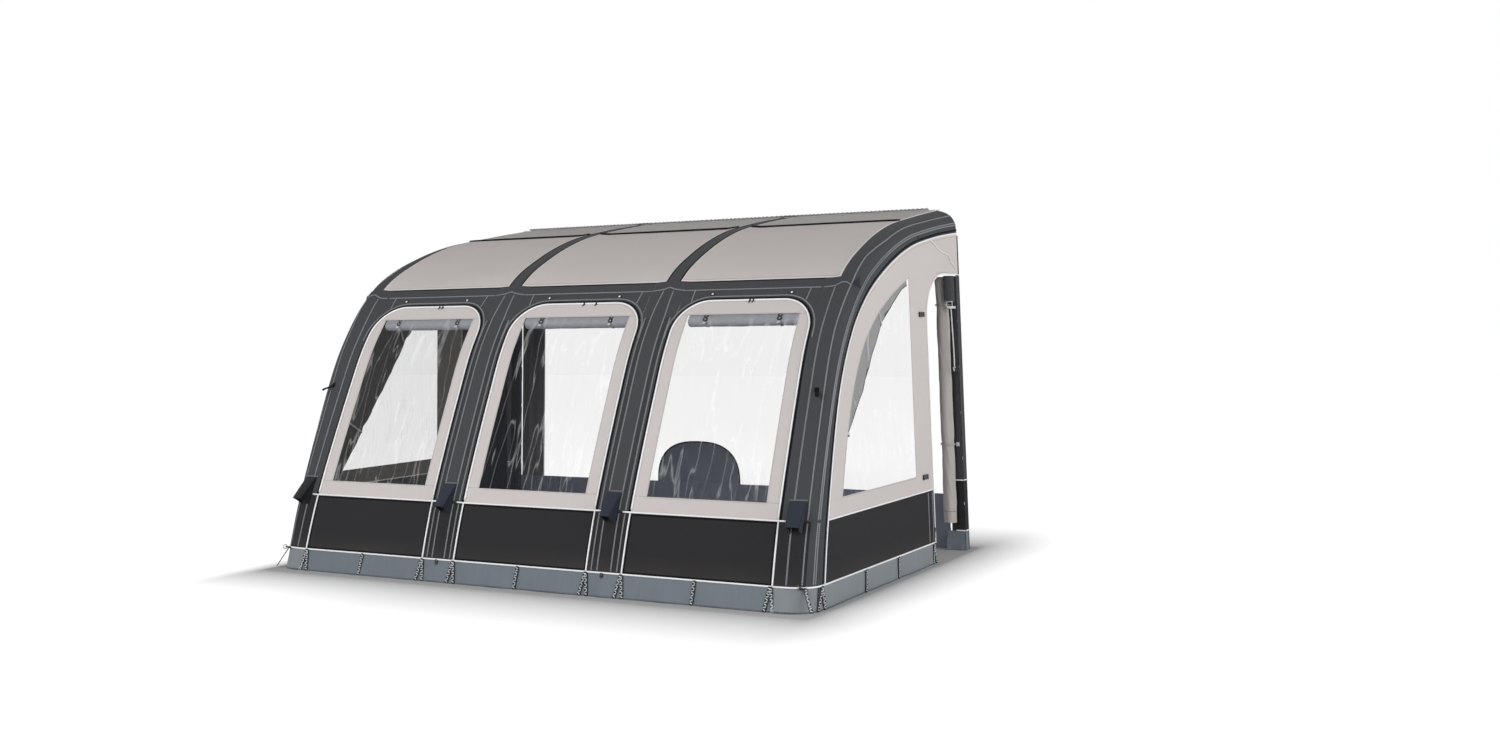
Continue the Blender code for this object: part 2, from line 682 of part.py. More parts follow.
def add_side_blind(place, side, finishes):
    """The side window's blind, gathered along the curved edge in lengthwise folds."""
    curve = [Vector(point) for point in side_window_curve()]
    back = CLOTH + SEAM_GAP
    loops = []
    for index, share in enumerate(SIDE_BLIND_SHARES):
        before = curve[max(index - 1, 0)]
        after = curve[min(index + 1, len(curve) - 1)]
        along = (after - before).normalized()
        inward = Vector((along.y, -along.x))
        width = share * SIDE_BLIND_WIDTH
        thick = SIDE_BLIND_DEPTH * (0.5 + share / 2)
        start = curve[index] - SIDE_BLIND_LAP * inward
        loop = [wall_point(side, *start, -back), wall_point(side, *(start + width * inward), -back)]
        for step, part_share in enumerate(cut_into(1.0, 0.0, SIDE_BLIND_COLUMNS)):
            fold = thick / 2 if step in (0, SIDE_BLIND_COLUMNS) else thick - (step % 2 == 0) * SIDE_BLIND_FOLD
            loop.append(wall_point(side, *(start + part_share * width * inward), -back - fold))
        loops.append(loop)
    add_object(f"side_blind_{place}", loft(loops), finishes["blind"])


def add_doors(finishes):
    """The closed left door on its rear hinge line, and the right door rolled up beside its opening."""
    foot = DOOR_GROUND_GAP
    hinge = wall_point(-1, DOOR_REAR, foot)

    def on_left(y, z, out):
        return wall_point(-1, y, z, out)

    door = plate([door_outline(ZIP_GAP, foot)], on_left, 0.0, -CLOTH)
    add_object("door_left", door, finishes["light"], hinge)

    low = DOOR_ROLL_GROUND_GAP
    high = DOOR_HEIGHT - DOOR_ROLL_TOP_GAP
    loops = []
    heights = cut_into(low, high, len(DOOR_ROLL_SHARES) - 1)
    for index, (z, share) in enumerate(zip(heights, DOOR_ROLL_SHARES)):
        loop = []
        for step, (a, b) in enumerate(circle(1.0, ROUND_SIDES)):
            angle = DOOR_ROLL_FOLDS * step * 2 * math.pi / ROUND_SIDES + index * DOOR_ROLL_TWIST_ANGLE
            fold = DOOR_ROLL_FOLD * math.cos(angle)
            reach = DOOR_ROLL_RADIUS * share + fold
            x = HALF_WIDTH - lean(z) - DOOR_ROLL_INSET + reach * a
            loop.append(Vector((x, reach * b, z)))
        loops.append(loop)
    deepest = max(point.y for loop in loops for point in loop)
    shift = Vector((0.0, REAR - PAD_DEPTH - SEAM_GAP - deepest, 0.0))
    loops = [[point + shift for point in loop] for loop in loops]
    add_object("door_roll_right", loft(loops), finishes["blind"])


def add_door_sliders(finishes):
    """A zip slider with its pull tab on each door post, at the foot of the straight front edge."""
    for place, side in SIDES:
        y = DOOR_FRONT - SLIDER_EDGE_INSET
        foot = SKIRT_HEIGHT + SLIDER_REST_RISE
        low = SEAM_GAP
        tab_low = low + SLIDER_TAB_THICKNESS
        tab_high = tab_low + SLIDER_TAB_THICKNESS
        outline = [
            (foot, low),
            (foot + SLIDER_LENGTH, low),
            (foot + SLIDER_LENGTH, low + SLIDER_THICKNESS),
            (foot, low + SLIDER_THICKNESS),
            (foot, tab_high),
            (foot - SLIDER_TAB_LENGTH, tab_high),
            (foot - SLIDER_TAB_LENGTH, tab_low),
            (foot, tab_low),
        ]

        def place_slider(z, out, sideways, side=side, y=y):
            return wall_point(side, y - sideways, z, out)

        slider = plate([outline], place_slider, 0.0, SLIDER_WIDTH)
        add_object(f"zip_slider_{place}", slider, finishes["plastic"], wall_point(side, y, foot))


def add_rear_edges(finishes):
    """The upright pads that press on the caravan, with the narrow strip that ends each side wall."""
    for place, side in SIDES:
        loops = []
        for z in (0.0, DOOR_HEIGHT - SEAM_GAP):
            wall = HALF_WIDTH - lean(z)
            outline = [
                (wall, DOOR_REAR + SEAM_GAP),
                (wall, REAR),
                (wall - PAD_WIDTH, REAR),
                (wall - PAD_WIDTH, REAR - PAD_DEPTH),
                (wall - CLOTH, REAR - PAD_DEPTH),
                (wall - CLOTH, DOOR_REAR + SEAM_GAP),
            ]
            loops.append([Vector((side * x, y, z)) for x, y in outline])
        add_object(f"rear_pad_{place}", loft(loops), finishes["dark"])


def add_rear_hangings(finishes):
    """The draught skirt under the caravan, the wheel arch cover and the left door's rear flap."""
    middle = REAR - HANGING_INSET

    def reach(z):
        return HALF_WIDTH - lean(z) - PAD_WIDTH - SEAM_GAP

    def on_draught(share, z, out):
        wave = DRAUGHT_WAVE * math.sin(share * DRAUGHT_FOLDS * math.pi)
        return Vector((share * reach(z), middle + wave - out, z))

    columns = cut_into(-1.0, 1.0, DRAUGHT_FOLDS * 4)
    loops = sheet_loops([0.0, DRAUGHT_HEIGHT], columns, on_draught, CLOTH / 2, -CLOTH / 2)
    add_object("draught_skirt", loft(loops, strip_ends=True), finishes["skirt"])

    front = middle + DRAUGHT_WAVE + CLOTH / 2 + SEAM_GAP

    def on_rear(x, z, back):
        return Vector((x, front + back, z))

    straight = WHEEL_COVER_HEIGHT - WHEEL_COVER_ARCH
    half = WHEEL_COVER_WIDTH / 2
    cover = [(WHEEL_COVER_OFFSET - half, 0.0), (WHEEL_COVER_OFFSET + half, 0.0)]
    for angle in cut_into(0.0, math.pi, 2 * ARCH_STEPS):
        x = WHEEL_COVER_OFFSET + half * math.cos(angle)
        cover.append((x, straight + WHEEL_COVER_ARCH * math.sin(angle)))
    add_object("wheel_arch_cover", plate([cover], on_rear, 0.0, CLOTH), finishes["skirt"])

    flap = []
    for z, side in ((REAR_FLAP_GROUND_GAP, 1), (DOOR_HEIGHT, -1)):
        ends = [(-reach(z), z), (REAR_FLAP_WIDTH - reach(z), z)]
        flap += ends[::side]
    add_object("rear_flap_left", plate([flap], on_rear, 0.0, CLOTH), finishes["dark"])


def add_mud_skirts(finishes):
    """The ground skirt: one piece across the front and one round each corner to the door."""
    half = CORNER_START - SEAM_GAP / 2
    rows = [0.0, SKIRT_RUN - SEAM_GAP]
    band = cut_into(HALF_BAY, BAND_OUTER, BAND_COLUMNS)
    columns = [-half] + [-x for x in reversed(band)] + band + [half]
    front = loft(sheet_loops(rows, columns, skirt_point, 0.0, -CLOTH), strip_ends=True)
    add_object("mud_skirt_front", front, finishes["skirt"])
    for place, side in SIDES:
        loops = []
        for z in (0.0, SKIRT_HEIGHT - SEAM_GAP):
            run = run_at_height(z)
            places = []
            for share in cut_into(corner_share(SEAM_GAP), 1.0, CORNER_COLUMNS):
                places.append((corner_skin(side, run, share), corner_axes(side, run, share)[2]))
            last, outward = places[-1]
            for y in cut_into(last.y, DOOR_FRONT, SKIRT_SIDE_COLUMNS)[1:]:
                places.append((wall_point(side, y, last.z), outward))
            if z == 0.0:
                places = [(point, Vector((outward.x, outward.y, 0.0))) for point, outward in places]
            face = [point for point, outward in places]
            back = [point - CLOTH * outward for point, outward in reversed(places)]
            loops.append(face + back)
        add_object(f"mud_skirt_{place}", loft(loops, strip_ends=True), finishes["skirt"])


def skirt_point(x, run, out):
    """A point of the front skirt, whose foot stays flat on the ground."""
    if run > 0.0:
        return front_point(x, run, out)
    skin = front_point(x, run)
    return Vector((skin.x, skin.y - out, skin.z))


def add_beading(finishes):
    """The bead and tape along the top rear edge, which slides into the caravan's rail."""
    reach = CORNER_START + CORNER_WIDTH / 2 - WALL_SET_IN
    end = front_point(0.0, RUNS[-1] - BEAD_RADIUS - BEAD_TAPE_THICKNESS, -CLOTH / 2)
    start = front_point(0.0, ROOF_END_RUN + SEAM_GAP, -CLOTH / 2)
    along = (end - start).normalized()
    up = Vector((0.0, -along.z, along.y))
    outline = [start - up * BEAD_TAPE_THICKNESS / 2, start + up * BEAD_TAPE_THICKNESS / 2]
    joint = math.asin(BEAD_TAPE_THICKNESS / 2 / BEAD_RADIUS)
    for angle in cut_into(math.pi - joint, joint - math.pi, ROUND_SIDES - 2):
        outline.append(end + BEAD_RADIUS * (math.cos(angle) * along + math.sin(angle) * up))
    loops = [[Vector((x, point.y, point.z)) for point in outline] for x in (-reach, reach)]
    add_object("rail_beading", loft(loops), finishes["bead"])


def add_vent_hoods(finishes):
    """The gusseted hood on each band, sewn along its top and sides, with an open mouth facing down."""
    top = run_at_height(HOOD_TOP_HEIGHT)
    for place, side in SIDES:
        for kind in ("corner", "middle"):

            def on_skin(across, run, out, kind=kind, side=side):
                if kind == "middle":
                    return front_point(side * (HALF_BAY + BAND_WIDTH / 2) + across, run, out)
                share = HOOD_CORNER_SHARE
                step = corner_skin(side, run, share + SHARE_STEP) - corner_skin(side, run, share)
                return corner_point(side, run, share + across / step.length * SHARE_STEP, out)

            loops = []
            for share in cut_into(0.0, 1.0, HOOD_ROWS):
                base = (HOOD_TOP_WIDTH + share * (HOOD_BASE_WIDTH - HOOD_TOP_WIDTH)) / 2
                front = (HOOD_TOP_WIDTH + share * (HOOD_FRONT_WIDTH - HOOD_TOP_WIDTH)) / 2
                base_run = top - share * HOOD_LENGTH
                front_run = base_run + share * HOOD_MOUTH_RISE
                low = HOOD_GAP
                high = low + HOOD_THICKNESS + share * HOOD_STAND_OFF
                outer = [(-base, base_run, low), (-front, front_run, high + HOOD_THICKNESS)]
                outer += [(front, front_run, high + HOOD_THICKNESS), (base, base_run, low)]
                base -= HOOD_THICKNESS
                front -= HOOD_THICKNESS
                inner = [(base, base_run, low), (front, front_run, high)]
                inner += [(-front, front_run, high), (-base, base_run, low)]
                loops.append([on_skin(*point) for point in outer + inner])
            add_object(f"vent_hood_{place}_{kind}", loft(loops, strip_ends=True), finishes["navy"])


def main():
    for old in list(bpy.data.objects):
        bpy.data.objects.remove(old, do_unlink=True)
    finishes = {
        "light": material("light_cloth", (0.60, 0.55, 0.53)),
        "dark": material("dark_cloth", (0.070, 0.071, 0.073)),
        "black": material("black_cloth", (0.033, 0.031, 0.030)),
        "clear": material("clear_film", (0.80, 0.84, 0.86), roughness=0.08, alpha=0.25),
        "blind": material("blind_cloth", (0.38, 0.40, 0.44)),
        "skirt": material("skirt_film", (0.16, 0.20, 0.23), roughness=0.45),
        "beam": material("beam_sleeve", (0.20, 0.21, 0.22), roughness=0.6),
        "navy": material("navy_cloth", (0.022, 0.027, 0.040)),
        "plastic": material("black_plastic", (0.02, 0.02, 0.022), roughness=0.4),
        "bead": material("white_bead", (0.85, 0.85, 0.84), roughness=0.4),
    }
    add_bays(finishes)
    add_bands(finishes)
    add_beams(finishes)
    for place, side in SIDES:
        add_side(place, side, finishes)
    add_doors(finishes)
    add_door_sliders(finishes)
    add_rear_edges(finishes)
    add_rear_hangings(finishes)
    add_mud_skirts(finishes)
    add_beading(finishes)
    add_vent_hoods(finishes)


main()
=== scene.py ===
"""The looks of an inflatable porch awning for the side of a caravan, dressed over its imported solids.

Metres, +Z up, +X along the caravan, +Y towards it. Each cloth is cut flat, in (x, run) or (y, z)
coordinates, and set on the surface that its solid follows. A run is a distance up the front curve.
"""

import math

import bpy
import numpy as np
from mathutils import Matrix, Vector
from mathutils.geometry import delaunay_2d_cdt


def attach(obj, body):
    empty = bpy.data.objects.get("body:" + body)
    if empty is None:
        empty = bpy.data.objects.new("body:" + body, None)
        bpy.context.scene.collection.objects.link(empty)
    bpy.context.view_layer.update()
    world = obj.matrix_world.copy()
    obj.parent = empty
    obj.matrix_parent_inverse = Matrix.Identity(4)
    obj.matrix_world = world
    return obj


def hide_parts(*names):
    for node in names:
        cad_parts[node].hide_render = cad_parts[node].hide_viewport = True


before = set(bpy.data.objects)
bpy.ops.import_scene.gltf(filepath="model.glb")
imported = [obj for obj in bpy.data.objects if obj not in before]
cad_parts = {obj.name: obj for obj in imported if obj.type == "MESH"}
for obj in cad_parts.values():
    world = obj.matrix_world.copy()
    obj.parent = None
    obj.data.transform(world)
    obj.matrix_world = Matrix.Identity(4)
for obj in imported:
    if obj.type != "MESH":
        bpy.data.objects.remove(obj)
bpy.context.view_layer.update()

# The awning's own sizes
AWNING_DEPTH = 2.50
RAIL_HEIGHT = 2.31
WALL_SET_IN = 0.074
BAY_WIDTH = 0.976
BAND_WIDTH = 0.243
CORNER_WIDTH = 0.230
CORNER_ARC = 0.350
ROOF_BAND_WIDTH = 0.106
ROOF_CORNER_REACH = 0.096
SKIRT_HEIGHT = 0.133
PIPING_HEIGHT = 0.475
EAVE_HEIGHT = 1.816
BAND_CROWN = 0.008
CROWN_FADE = 0.50
CORNER_CROWN = 0.038
CORNICE_WIDTH = 0.168
ARCH_RADIUS = 0.23
WINDOW_SIDE_BORDER = 0.093
WINDOW_BOTTOM_BORDER = 0.098
WINDOW_TOP_BORDER = 0.110
BEAD_TAPE_WIDTH = 0.016
CORNER_POWER = 0.70
CURVE_STEPS = 60
ARCH_STEPS = 14

FRONT_SHARES = [(0.0, 0.0), (0.059, 0.206), (0.164, 0.476), (0.240, 0.641), (0.350, 0.786)]
FRONT_SHARES += [(0.480, 0.868), (0.640, 0.931), (0.824, 0.970), (1.0, 1.0)]
SIDE_EDGE_SHARES = [(0.074, 0.0), (0.115, 0.206), (0.192, 0.476), (0.276, 0.636), (0.376, 0.736)]
SIDE_EDGE_SHARES += [(0.504, 0.811), (0.656, 0.870), (0.832, 0.905), (1.0, 0.926)]

# Side walls and doors
DOOR_FRONT_INSET = 0.624
DOOR_TOP_DROP = 0.279
DOOR_ARCH_WIDTH = 0.33
DOOR_ARCH_HEIGHT = 0.30
DOOR_GROUND_GAP = 0.015
POST_WIDTH = 0.285
SIDE_WINDOW_BORDER = 0.170
SIDE_WINDOW_SILL = 0.105
EDGE_STRIP_WIDTH = 0.060

# Cloth as it is seen
CLOTH = 0.0010
FILM = 0.0005
SEAM = 0.0006
STEP = 0.022
PIPING_RADIUS = 0.0052
THREAD_WIDTH = 0.0032
THREAD_HEIGHT = 0.0010
STITCH_LENGTH = 0.0085
STITCH_PITCH = 0.0115
SEAM_TAPE_WIDTH = 0.0085
THIN_CLOTH = 0.0008
FILM_OUT = -0.0013
THIN_PIPING_RADIUS = 0.0042
PANEL_INSET = 0.0012
PIPING_STUB = 0.046
PIPING_OUT = 0.002
SKIRT_LOWEST = 0.0012
DUST_HEIGHT = 0.25

# Beams
CAD_CLOTH = 0.004
BEAM_RADIUS = 0.060
BEAM_GAP = 0.001
CORNER_BEAM_GAP = 0.007

# Small fittings
GUY_PATCH = [(0.560, 2.045), (0.475, 1.962), (0.690, 1.975)]
GUY_RING = (0.592, 1.990)
CORNER_STRAP_RUN = 1.2337
CORNER_STRAP_SHARES = {"left": 0.42, "right": 0.3077}
STRAP_POINTS = [(-0.022, 0.030, 0.003), (-0.019, 0.016, 0.007), (-0.012, 0.003, 0.018)]
STRAP_POINTS += [(-0.003, -0.011, 0.034), (0.006, -0.024, 0.048), (0.013, -0.036, 0.056)]
STUD_PLACES = (-1.517, -0.960, -0.2745, 0.262, 0.9456, 1.514)
STUD_RUN = 1.917
BUTTON_PROFILE = [(1.0, 0.0), (1.0, 0.35), (0.9, 0.7), (0.62, 0.93), (0.3, 1.0), (0.02, 1.0)]
PANEL_SLIDER_PLACES = (-1.174, -1.146, 0.02, 0.112, 1.238, 1.262)
POST_BUCKLES = ((0.527, 1.595), (0.486, 0.566))
WALL_LINE = [(0.737, 2.076), (0.91, 2.011), (1.056, 1.99), (1.09, 1.951), (1.18, 1.907)]
WALL_MARK = [(0.529, 2.062), (0.529, 2.096)]
FOOT_TAB_PLACES = (-0.615, 0.60)

# Hoods
HOOD_CORNER_SHARE = 0.22
HOOD_TOP_HEIGHT = 0.581
HOOD_LENGTH = 0.180
HOOD_TOP_WIDTH = 0.092
HOOD_BASE_WIDTH = 0.074
HOOD_FRONT_WIDTH = 0.066
HOOD_STAND_OFF = 0.068
HOOD_MOUTH_RISE = 0.020

# Blinds
TOGGLE_PLACES = (-0.265, 0.262)
ROLL_RADIUS = 0.034
ROLL_RISE = 0.012
ROLL_TURNS = 7
SIDE_BLIND_LAP = 0.030
SIDE_BLIND_DEPTH = 0.026
SIDE_BLIND_LAYERS = 3
SIDE_BLIND_WIDTHS = {}
SIDE_BLIND_WIDTHS["right"] = [(0.0, 0.0), (0.141, 0.004), (0.21, 0.035), (0.293, 0.096), (0.396, 0.151)]
SIDE_BLIND_WIDTHS["right"] += [(0.505, 0.160), (0.625, 0.130), (0.731, 0.090), (0.817, 0.069)]
SIDE_BLIND_WIDTHS["right"] += [(0.885, 0.055), (0.951, 0.040), (1.0, 0.045)]
SIDE_BLIND_WIDTHS["left"] = [(0.0, 0.067), (0.141, 0.156), (0.277, 0.224), (0.413, 0.257), (0.53, 0.256)]
SIDE_BLIND_WIDTHS["left"] += [(0.625, 0.227), (0.748, 0.154), (0.817, 0.093), (0.885, 0.045), (1.0, 0.035)]
SIDE_TIE_PLACES = [(-0.116, 1.593), (-0.614, 0.930)]

# The rolled door
DOOR_ROLL_RADIUS = 0.046
DOOR_ROLL_INSET = 0.090
DOOR_ROLL_GROUND_GAP = 0.190
DOOR_ROLL_TOP_GAP = 0.012
DOOR_ROLL_TURNS = 3
DOOR_TIE_HEIGHTS = (0.72, 1.66)
DOOR_HINGE_WIDTH = 0.062
DOOR_TAIL_LENGTH = 0.395
FLAP_FOOT = 1.676
FLAP_SHIFT = 0.027
LOCK_HEIGHT = 0.718

# Rear pads, hangings and side skirts
PAD_WIDTH = 0.120
PAD_DEPTH = 0.045
PAD_CHANNEL_PITCH = 0.31
PAD_CHANNELS = [PAD_CHANNEL_PITCH * number for number in range(1, 6)]
HANGING_INSET = 0.030
DRAUGHT_HEIGHT = 0.375
DRAUGHT_WAVE = 0.006
HANGING_LOWEST = 0.0015
REAR_FLAP_WIDTH = 0.210
REAR_FLAP_GROUND_GAP = 0.300
WHEEL_COVER_WIDTH = 0.700
WHEEL_COVER_HEIGHT = 0.678
WHEEL_COVER_ARCH = 0.300
WHEEL_COVER_OFFSET = -0.175
WHEEL_COVER_POWER = 0.78
SIDE_SKIRT_LENGTH = 1.68

# Camera, floor and light
PHOTO_WIDTH = 1500
CAMERA_FOCAL_PIXELS = 1463.5
CAMERA_YAW = 0.49277
CAMERA_PITCH = -0.03521
CAMERA_ROLL = 0.01417
CAMERA_PLACE = (5.3211, -8.1718, 1.5535)
WORLD_STRENGTH = 0.31
FLOOR_GLOW = 0.76
# The floor's glow dims near the awning as a painted shadow, with extra painted light to its left
FLOOR_PAINTED_SHADE_EDGE = 0.09
FLOOR_PAINTED_SHADE_REACH = 0.95
FLOOR_FAR_GLOW = 0.11
FLOOR_FAR_REACH = 5.0
FLOOR_LEFT_PAINTED_LIGHT = 0.24
FLOOR_HALF = 30.0
LAMP_SIZE = 6.0
FRONT_LIGHT_POWER = 532.0
SIDE_LIGHT_POWER = 440.0

# Places that follow from the sizes
HALF_BAY = BAY_WIDTH / 2
BAND_OUTER = HALF_BAY + BAND_WIDTH
CORNER_START = BAND_OUTER + BAY_WIDTH
HALF_WIDTH = CORNER_START + CORNER_WIDTH
REAR = AWNING_DEPTH / 2
BAND_MIDDLE = HALF_BAY + BAND_WIDTH / 2
HANGING_MIDDLE = REAR - HANGING_INSET
HANGING_FRONT = HANGING_MIDDLE + DRAUGHT_WAVE + 0.005
DOOR_FRONT = REAR - DOOR_FRONT_INSET
DOOR_REAR = REAR - EDGE_STRIP_WIDTH
DOOR_HEIGHT = RAIL_HEIGHT * SIDE_EDGE_SHARES[-1][1] - DOOR_TOP_DROP
SIDES = (("left", -1), ("right", 1))
BAYS = (("left", -BAY_WIDTH - BAND_WIDTH), ("middle", 0.0), ("right", BAY_WIDTH + BAND_WIDTH))


# Surfaces


def curve_through(shares):
    """A smooth curve through points given as shares of the depth and height, as rows of (y, z)."""
    points = np.array(shares) * (AWNING_DEPTH, RAIL_HEIGHT) - (REAR, 0.0)
    ends = np.vstack([2 * points[0] - points[1], points, 2 * points[-1] - points[-2]])
    curve = [points[0]]
    for before, start, end, after in zip(ends, ends[1:], ends[2:], ends[3:]):
        for step in range(1, CURVE_STEPS + 1):
            t = step / CURVE_STEPS
            cubic = (3 * start - before - 3 * end + after) * t**3
            square = (2 * before - 5 * start + 4 * end - after) * t**2
            curve.append((2 * start + (end - before) * t + square + cubic) / 2)
    return np.array(curve)


def distances(points):
    """How far along a line of points each of them lies."""
    return np.concatenate([[0.0], np.cumsum(np.linalg.norm(np.diff(points, axis=0), axis=1))])


FRONT_CURVE = curve_through(FRONT_SHARES)
SIDE_EDGE_CURVE = curve_through(SIDE_EDGE_SHARES)
RUNS = distances(FRONT_CURVE)
TANGENTS = np.gradient(FRONT_CURVE, RUNS, axis=0)


def read_curve(table, run):
    """The two values of a table of the curve's points at a run."""
    return np.interp(run, RUNS, table[:, 0]), np.interp(run, RUNS, table[:, 1])


def run_at_height(height):
    """The run at which the front reaches a height."""
    return float(np.interp(height, FRONT_CURVE[:, 1], RUNS))


SKIRT_RUN = run_at_height(SKIRT_HEIGHT)
PIPING_RUN = run_at_height(PIPING_HEIGHT)
EAVE_RUN = run_at_height(EAVE_HEIGHT)
ROOF_END_RUN = RUNS[-1] - BEAD_TAPE_WIDTH
ARCH_TOP_RUN = EAVE_RUN - CORNICE_WIDTH
ARCH_FOOT_RUN = ARCH_TOP_RUN - ARCH_RADIUS
WINDOW_LOW = PIPING_RUN + WINDOW_BOTTOM_BORDER
WINDOW_HIGH = ARCH_TOP_RUN - WINDOW_TOP_BORDER

# Seams, as runs and as shares across a band or a corner
ROOF_SEAM_RUN = EAVE_RUN + 1.02
EAVE_SEAM_RUN = EAVE_RUN - 0.081
FLAP_TOP_RUN = ARCH_FOOT_RUN + 0.10
SEAM_FOOT_RUN = PIPING_RUN + 0.006
BAND_LINE_SHARES = (0.14, 0.31, 0.70, 0.87)
CORNER_LINES = [
    [(0.14, SEAM_FOOT_RUN), (0.14, 1.65), (0.167, EAVE_SEAM_RUN - 0.004)],
    [(0.42, SEAM_FOOT_RUN), (0.415, 1.63), (0.47, 1.97), (0.45, 2.25), (0.53, 2.55), (0.55, ROOF_END_RUN)],
    [(0.68, SEAM_FOOT_RUN), (0.695, 1.66), (0.745, 2.40), (0.79, 3.0), (0.80, ROOF_END_RUN)],
    [(0.735, SEAM_FOOT_RUN), (0.745, 1.66), (0.79, 2.40), (0.84, 3.0), (0.85, ROOF_END_RUN)],
]
CORNER_HUMP = [(0.01, 0.0), (0.16, 0.004), (0.27, 0.026), (0.36, 0.022), (0.47, 0.004)]
CORNER_SPLIT_SHARE = 0.50


def unit(vectors):
    """The same directions, each with a length of one."""
    return vectors / np.maximum(np.linalg.norm(vectors, axis=-1, keepdims=True), 1e-12)


def lean(height):
    """How far the side walls have come in at a height."""
    return WALL_SET_IN * height / RAIL_HEIGHT


def corner_skin(side, run, share):
    """Points of the rounded corner, from the front seam at share 0 to the side seam at share 1."""
    y0, z0 = read_curve(FRONT_CURVE, run)
    y1, z1 = read_curve(SIDE_EDGE_CURVE, run)
    angle = np.clip(share, 0.0, 1.0) * math.pi / 2
    turned = 1 - np.cos(angle).clip(0, 1) ** CORNER_POWER
    z = z0 + turned * (z1 - z0)
    x = CORNER_START + CORNER_WIDTH * np.sin(angle) ** CORNER_POWER - lean(z)
    return np.stack([side * x, y0 + turned * (y1 - y0), z], axis=-1)


def on_corner(side, run, share, out):
    """Points of the corner's cloth, which the beam inside pushes out most at the eave."""
    side, run, share, out = np.broadcast_arrays(np.asarray(side, float), run, share, out)
    small = 0.004
    reach = RUNS[-1] * small
    across = corner_skin(side, run, share + small) - corner_skin(side, run, share - small)
    along = corner_skin(side, run + reach, share) - corner_skin(side, run - reach, share)
    outward = unit(np.cross(across, along) * side[..., None])
    rise = np.clip((run - PIPING_RUN) / (RUNS[-1] - PIPING_RUN), 0.0, 1.0)
    swell = CORNER_CROWN * np.sin(math.pi * np.clip(share, 0, 1)) ** 2 * np.sin(math.pi * rise) ** 3
    return corner_skin(side, run, share) + (out + swell)[..., None] * outward


def corner_share(reach):
    """The share across the corner of a point that far out past the front seam."""
    return np.arcsin(np.clip(reach / CORNER_WIDTH, 0, 1) ** (1 / CORNER_POWER)) / (math.pi / 2)


def on_front(x, run, out):
    """Points of the front and roof, and past their seam with the corners, moved out along the normal."""
    x, run, out = np.broadcast_arrays(np.asarray(x, float), run, out)
    y, z = read_curve(FRONT_CURVE, run)
    share = (np.abs(x) - BAND_MIDDLE) / (BAND_WIDTH / 2)
    fade = np.clip(np.minimum(run, RUNS[-1] - run) / CROWN_FADE, 0.0, 1.0)
    lifted = out + BAND_CROWN * np.maximum(1 - share**2, 0.0) * fade
    along = unit(np.stack(read_curve(TANGENTS, run), axis=-1))
    outer = np.clip((np.abs(x) - BAND_OUTER) / BAY_WIDTH, 0.0, 1.0)
    flat_x = x - np.sign(x) * outer * lean(z)
    flat = np.stack([flat_x, y - lifted * along[..., 1], z + lifted * along[..., 0]], axis=-1)
    if np.abs(x).max() <= CORNER_START:
        return flat
    round_part = on_corner(np.sign(x), run, corner_share(np.abs(x) - CORNER_START), out)
    return np.where((np.abs(x) > CORNER_START)[..., None], round_part, flat)


def corner_place(side):
    """The corner as a surface of (distance across from the front seam, run)."""
    return lambda across, run, out: on_corner(side, run, np.asarray(across) / CORNER_ARC, out)


def wall_place(side):
    """A side wall as a surface of (y, z)."""
    outward = np.array(Vector((side, 0.0, WALL_SET_IN / RAIL_HEIGHT)).normalized())

    def place(y, z, out):
        y, z, out = np.broadcast_arrays(np.asarray(y, float), z, out)
        return np.stack([side * (HALF_WIDTH - lean(z)), y, z], axis=-1) + out[..., None] * outward

    return place


def plane_place(y):
    """An upright plane that faces the front, as a surface of (x, z)."""

    def place(x, z, out):
        x, z, out = np.broadcast_arrays(np.asarray(x, float), z, out)
        return np.stack([x, y - out, z], axis=-1)

    return place


def noise(a, b, seed):
    """Smooth noise from -1 to 1 over a plane, the same each run."""
    table = np.random.default_rng(seed).uniform(-1, 1, (64, 64))
    i, j = np.floor(a).astype(int), np.floor(b).astype(int)
    s, t = a - i, b - j
    s, t = s * s * (3 - 2 * s), t * t * (3 - 2 * t)
    low = table[i % 64, j % 64] * (1 - s) + table[(i + 1) % 64, j % 64] * s
    high = table[i % 64, (j + 1) % 64] * (1 - s) + table[(i + 1) % 64, (j + 1) % 64] * s
    return low * (1 - t) + high * t


# Meshes


def add_piece(name, parts, finishes, body="awning", cad=(), smooth=True):
    """A piece from parts of (points, faces, flat coordinates), riding on a body and standing for nodes."""
    mesh = bpy.data.meshes.new(name)
    points, corners, totals, flats = [], [], [], []
    count = 0
    for part_points, faces, flat in parts:
        points.append(part_points)
        for block in faces:
            corners.append((block + count).ravel())
            totals.append(np.full(len(block), block.shape[1]))
            flats.append(flat[block.ravel()])
        count += len(part_points)
    points, corners = np.concatenate(points), np.concatenate(corners)
    totals, flats = np.concatenate(totals), np.concatenate(flats)
    mesh.vertices.add(len(points))
    mesh.vertices.foreach_set("co", points.astype(np.float32).ravel())
    mesh.loops.add(len(corners))
    mesh.loops.foreach_set("vertex_index", corners.astype(np.int32))
    mesh.polygons.add(len(totals))
    mesh.polygons.foreach_set("loop_start", np.concatenate([[0], np.cumsum(totals)[:-1]]).astype(np.int32))
    mesh.polygons.foreach_set("loop_total", totals.astype(np.int32))
    layer = mesh.uv_layers.new(name="flat")
    layer.data.foreach_set("uv", flats.astype(np.float32).ravel())
    mesh.update(calc_edges=True)
    if smooth:
        mesh.shade_smooth()
    for finish in finishes if isinstance(finishes, list) else [finishes]:
        mesh.materials.append(finish)
    piece = bpy.data.objects.new(name, mesh)
    bpy.context.scene.collection.objects.link(piece)
    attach(piece, body)
    if cad:
        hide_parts(*cad)
    return piece


def add_object(name, points, faces):
    """A plain mesh from points and faces."""
    mesh = bpy.data.meshes.new(name)
    mesh.from_pydata(points, [], faces)
    made = bpy.data.objects.new(name, mesh)
    bpy.context.scene.collection.objects.link(made)
    return made


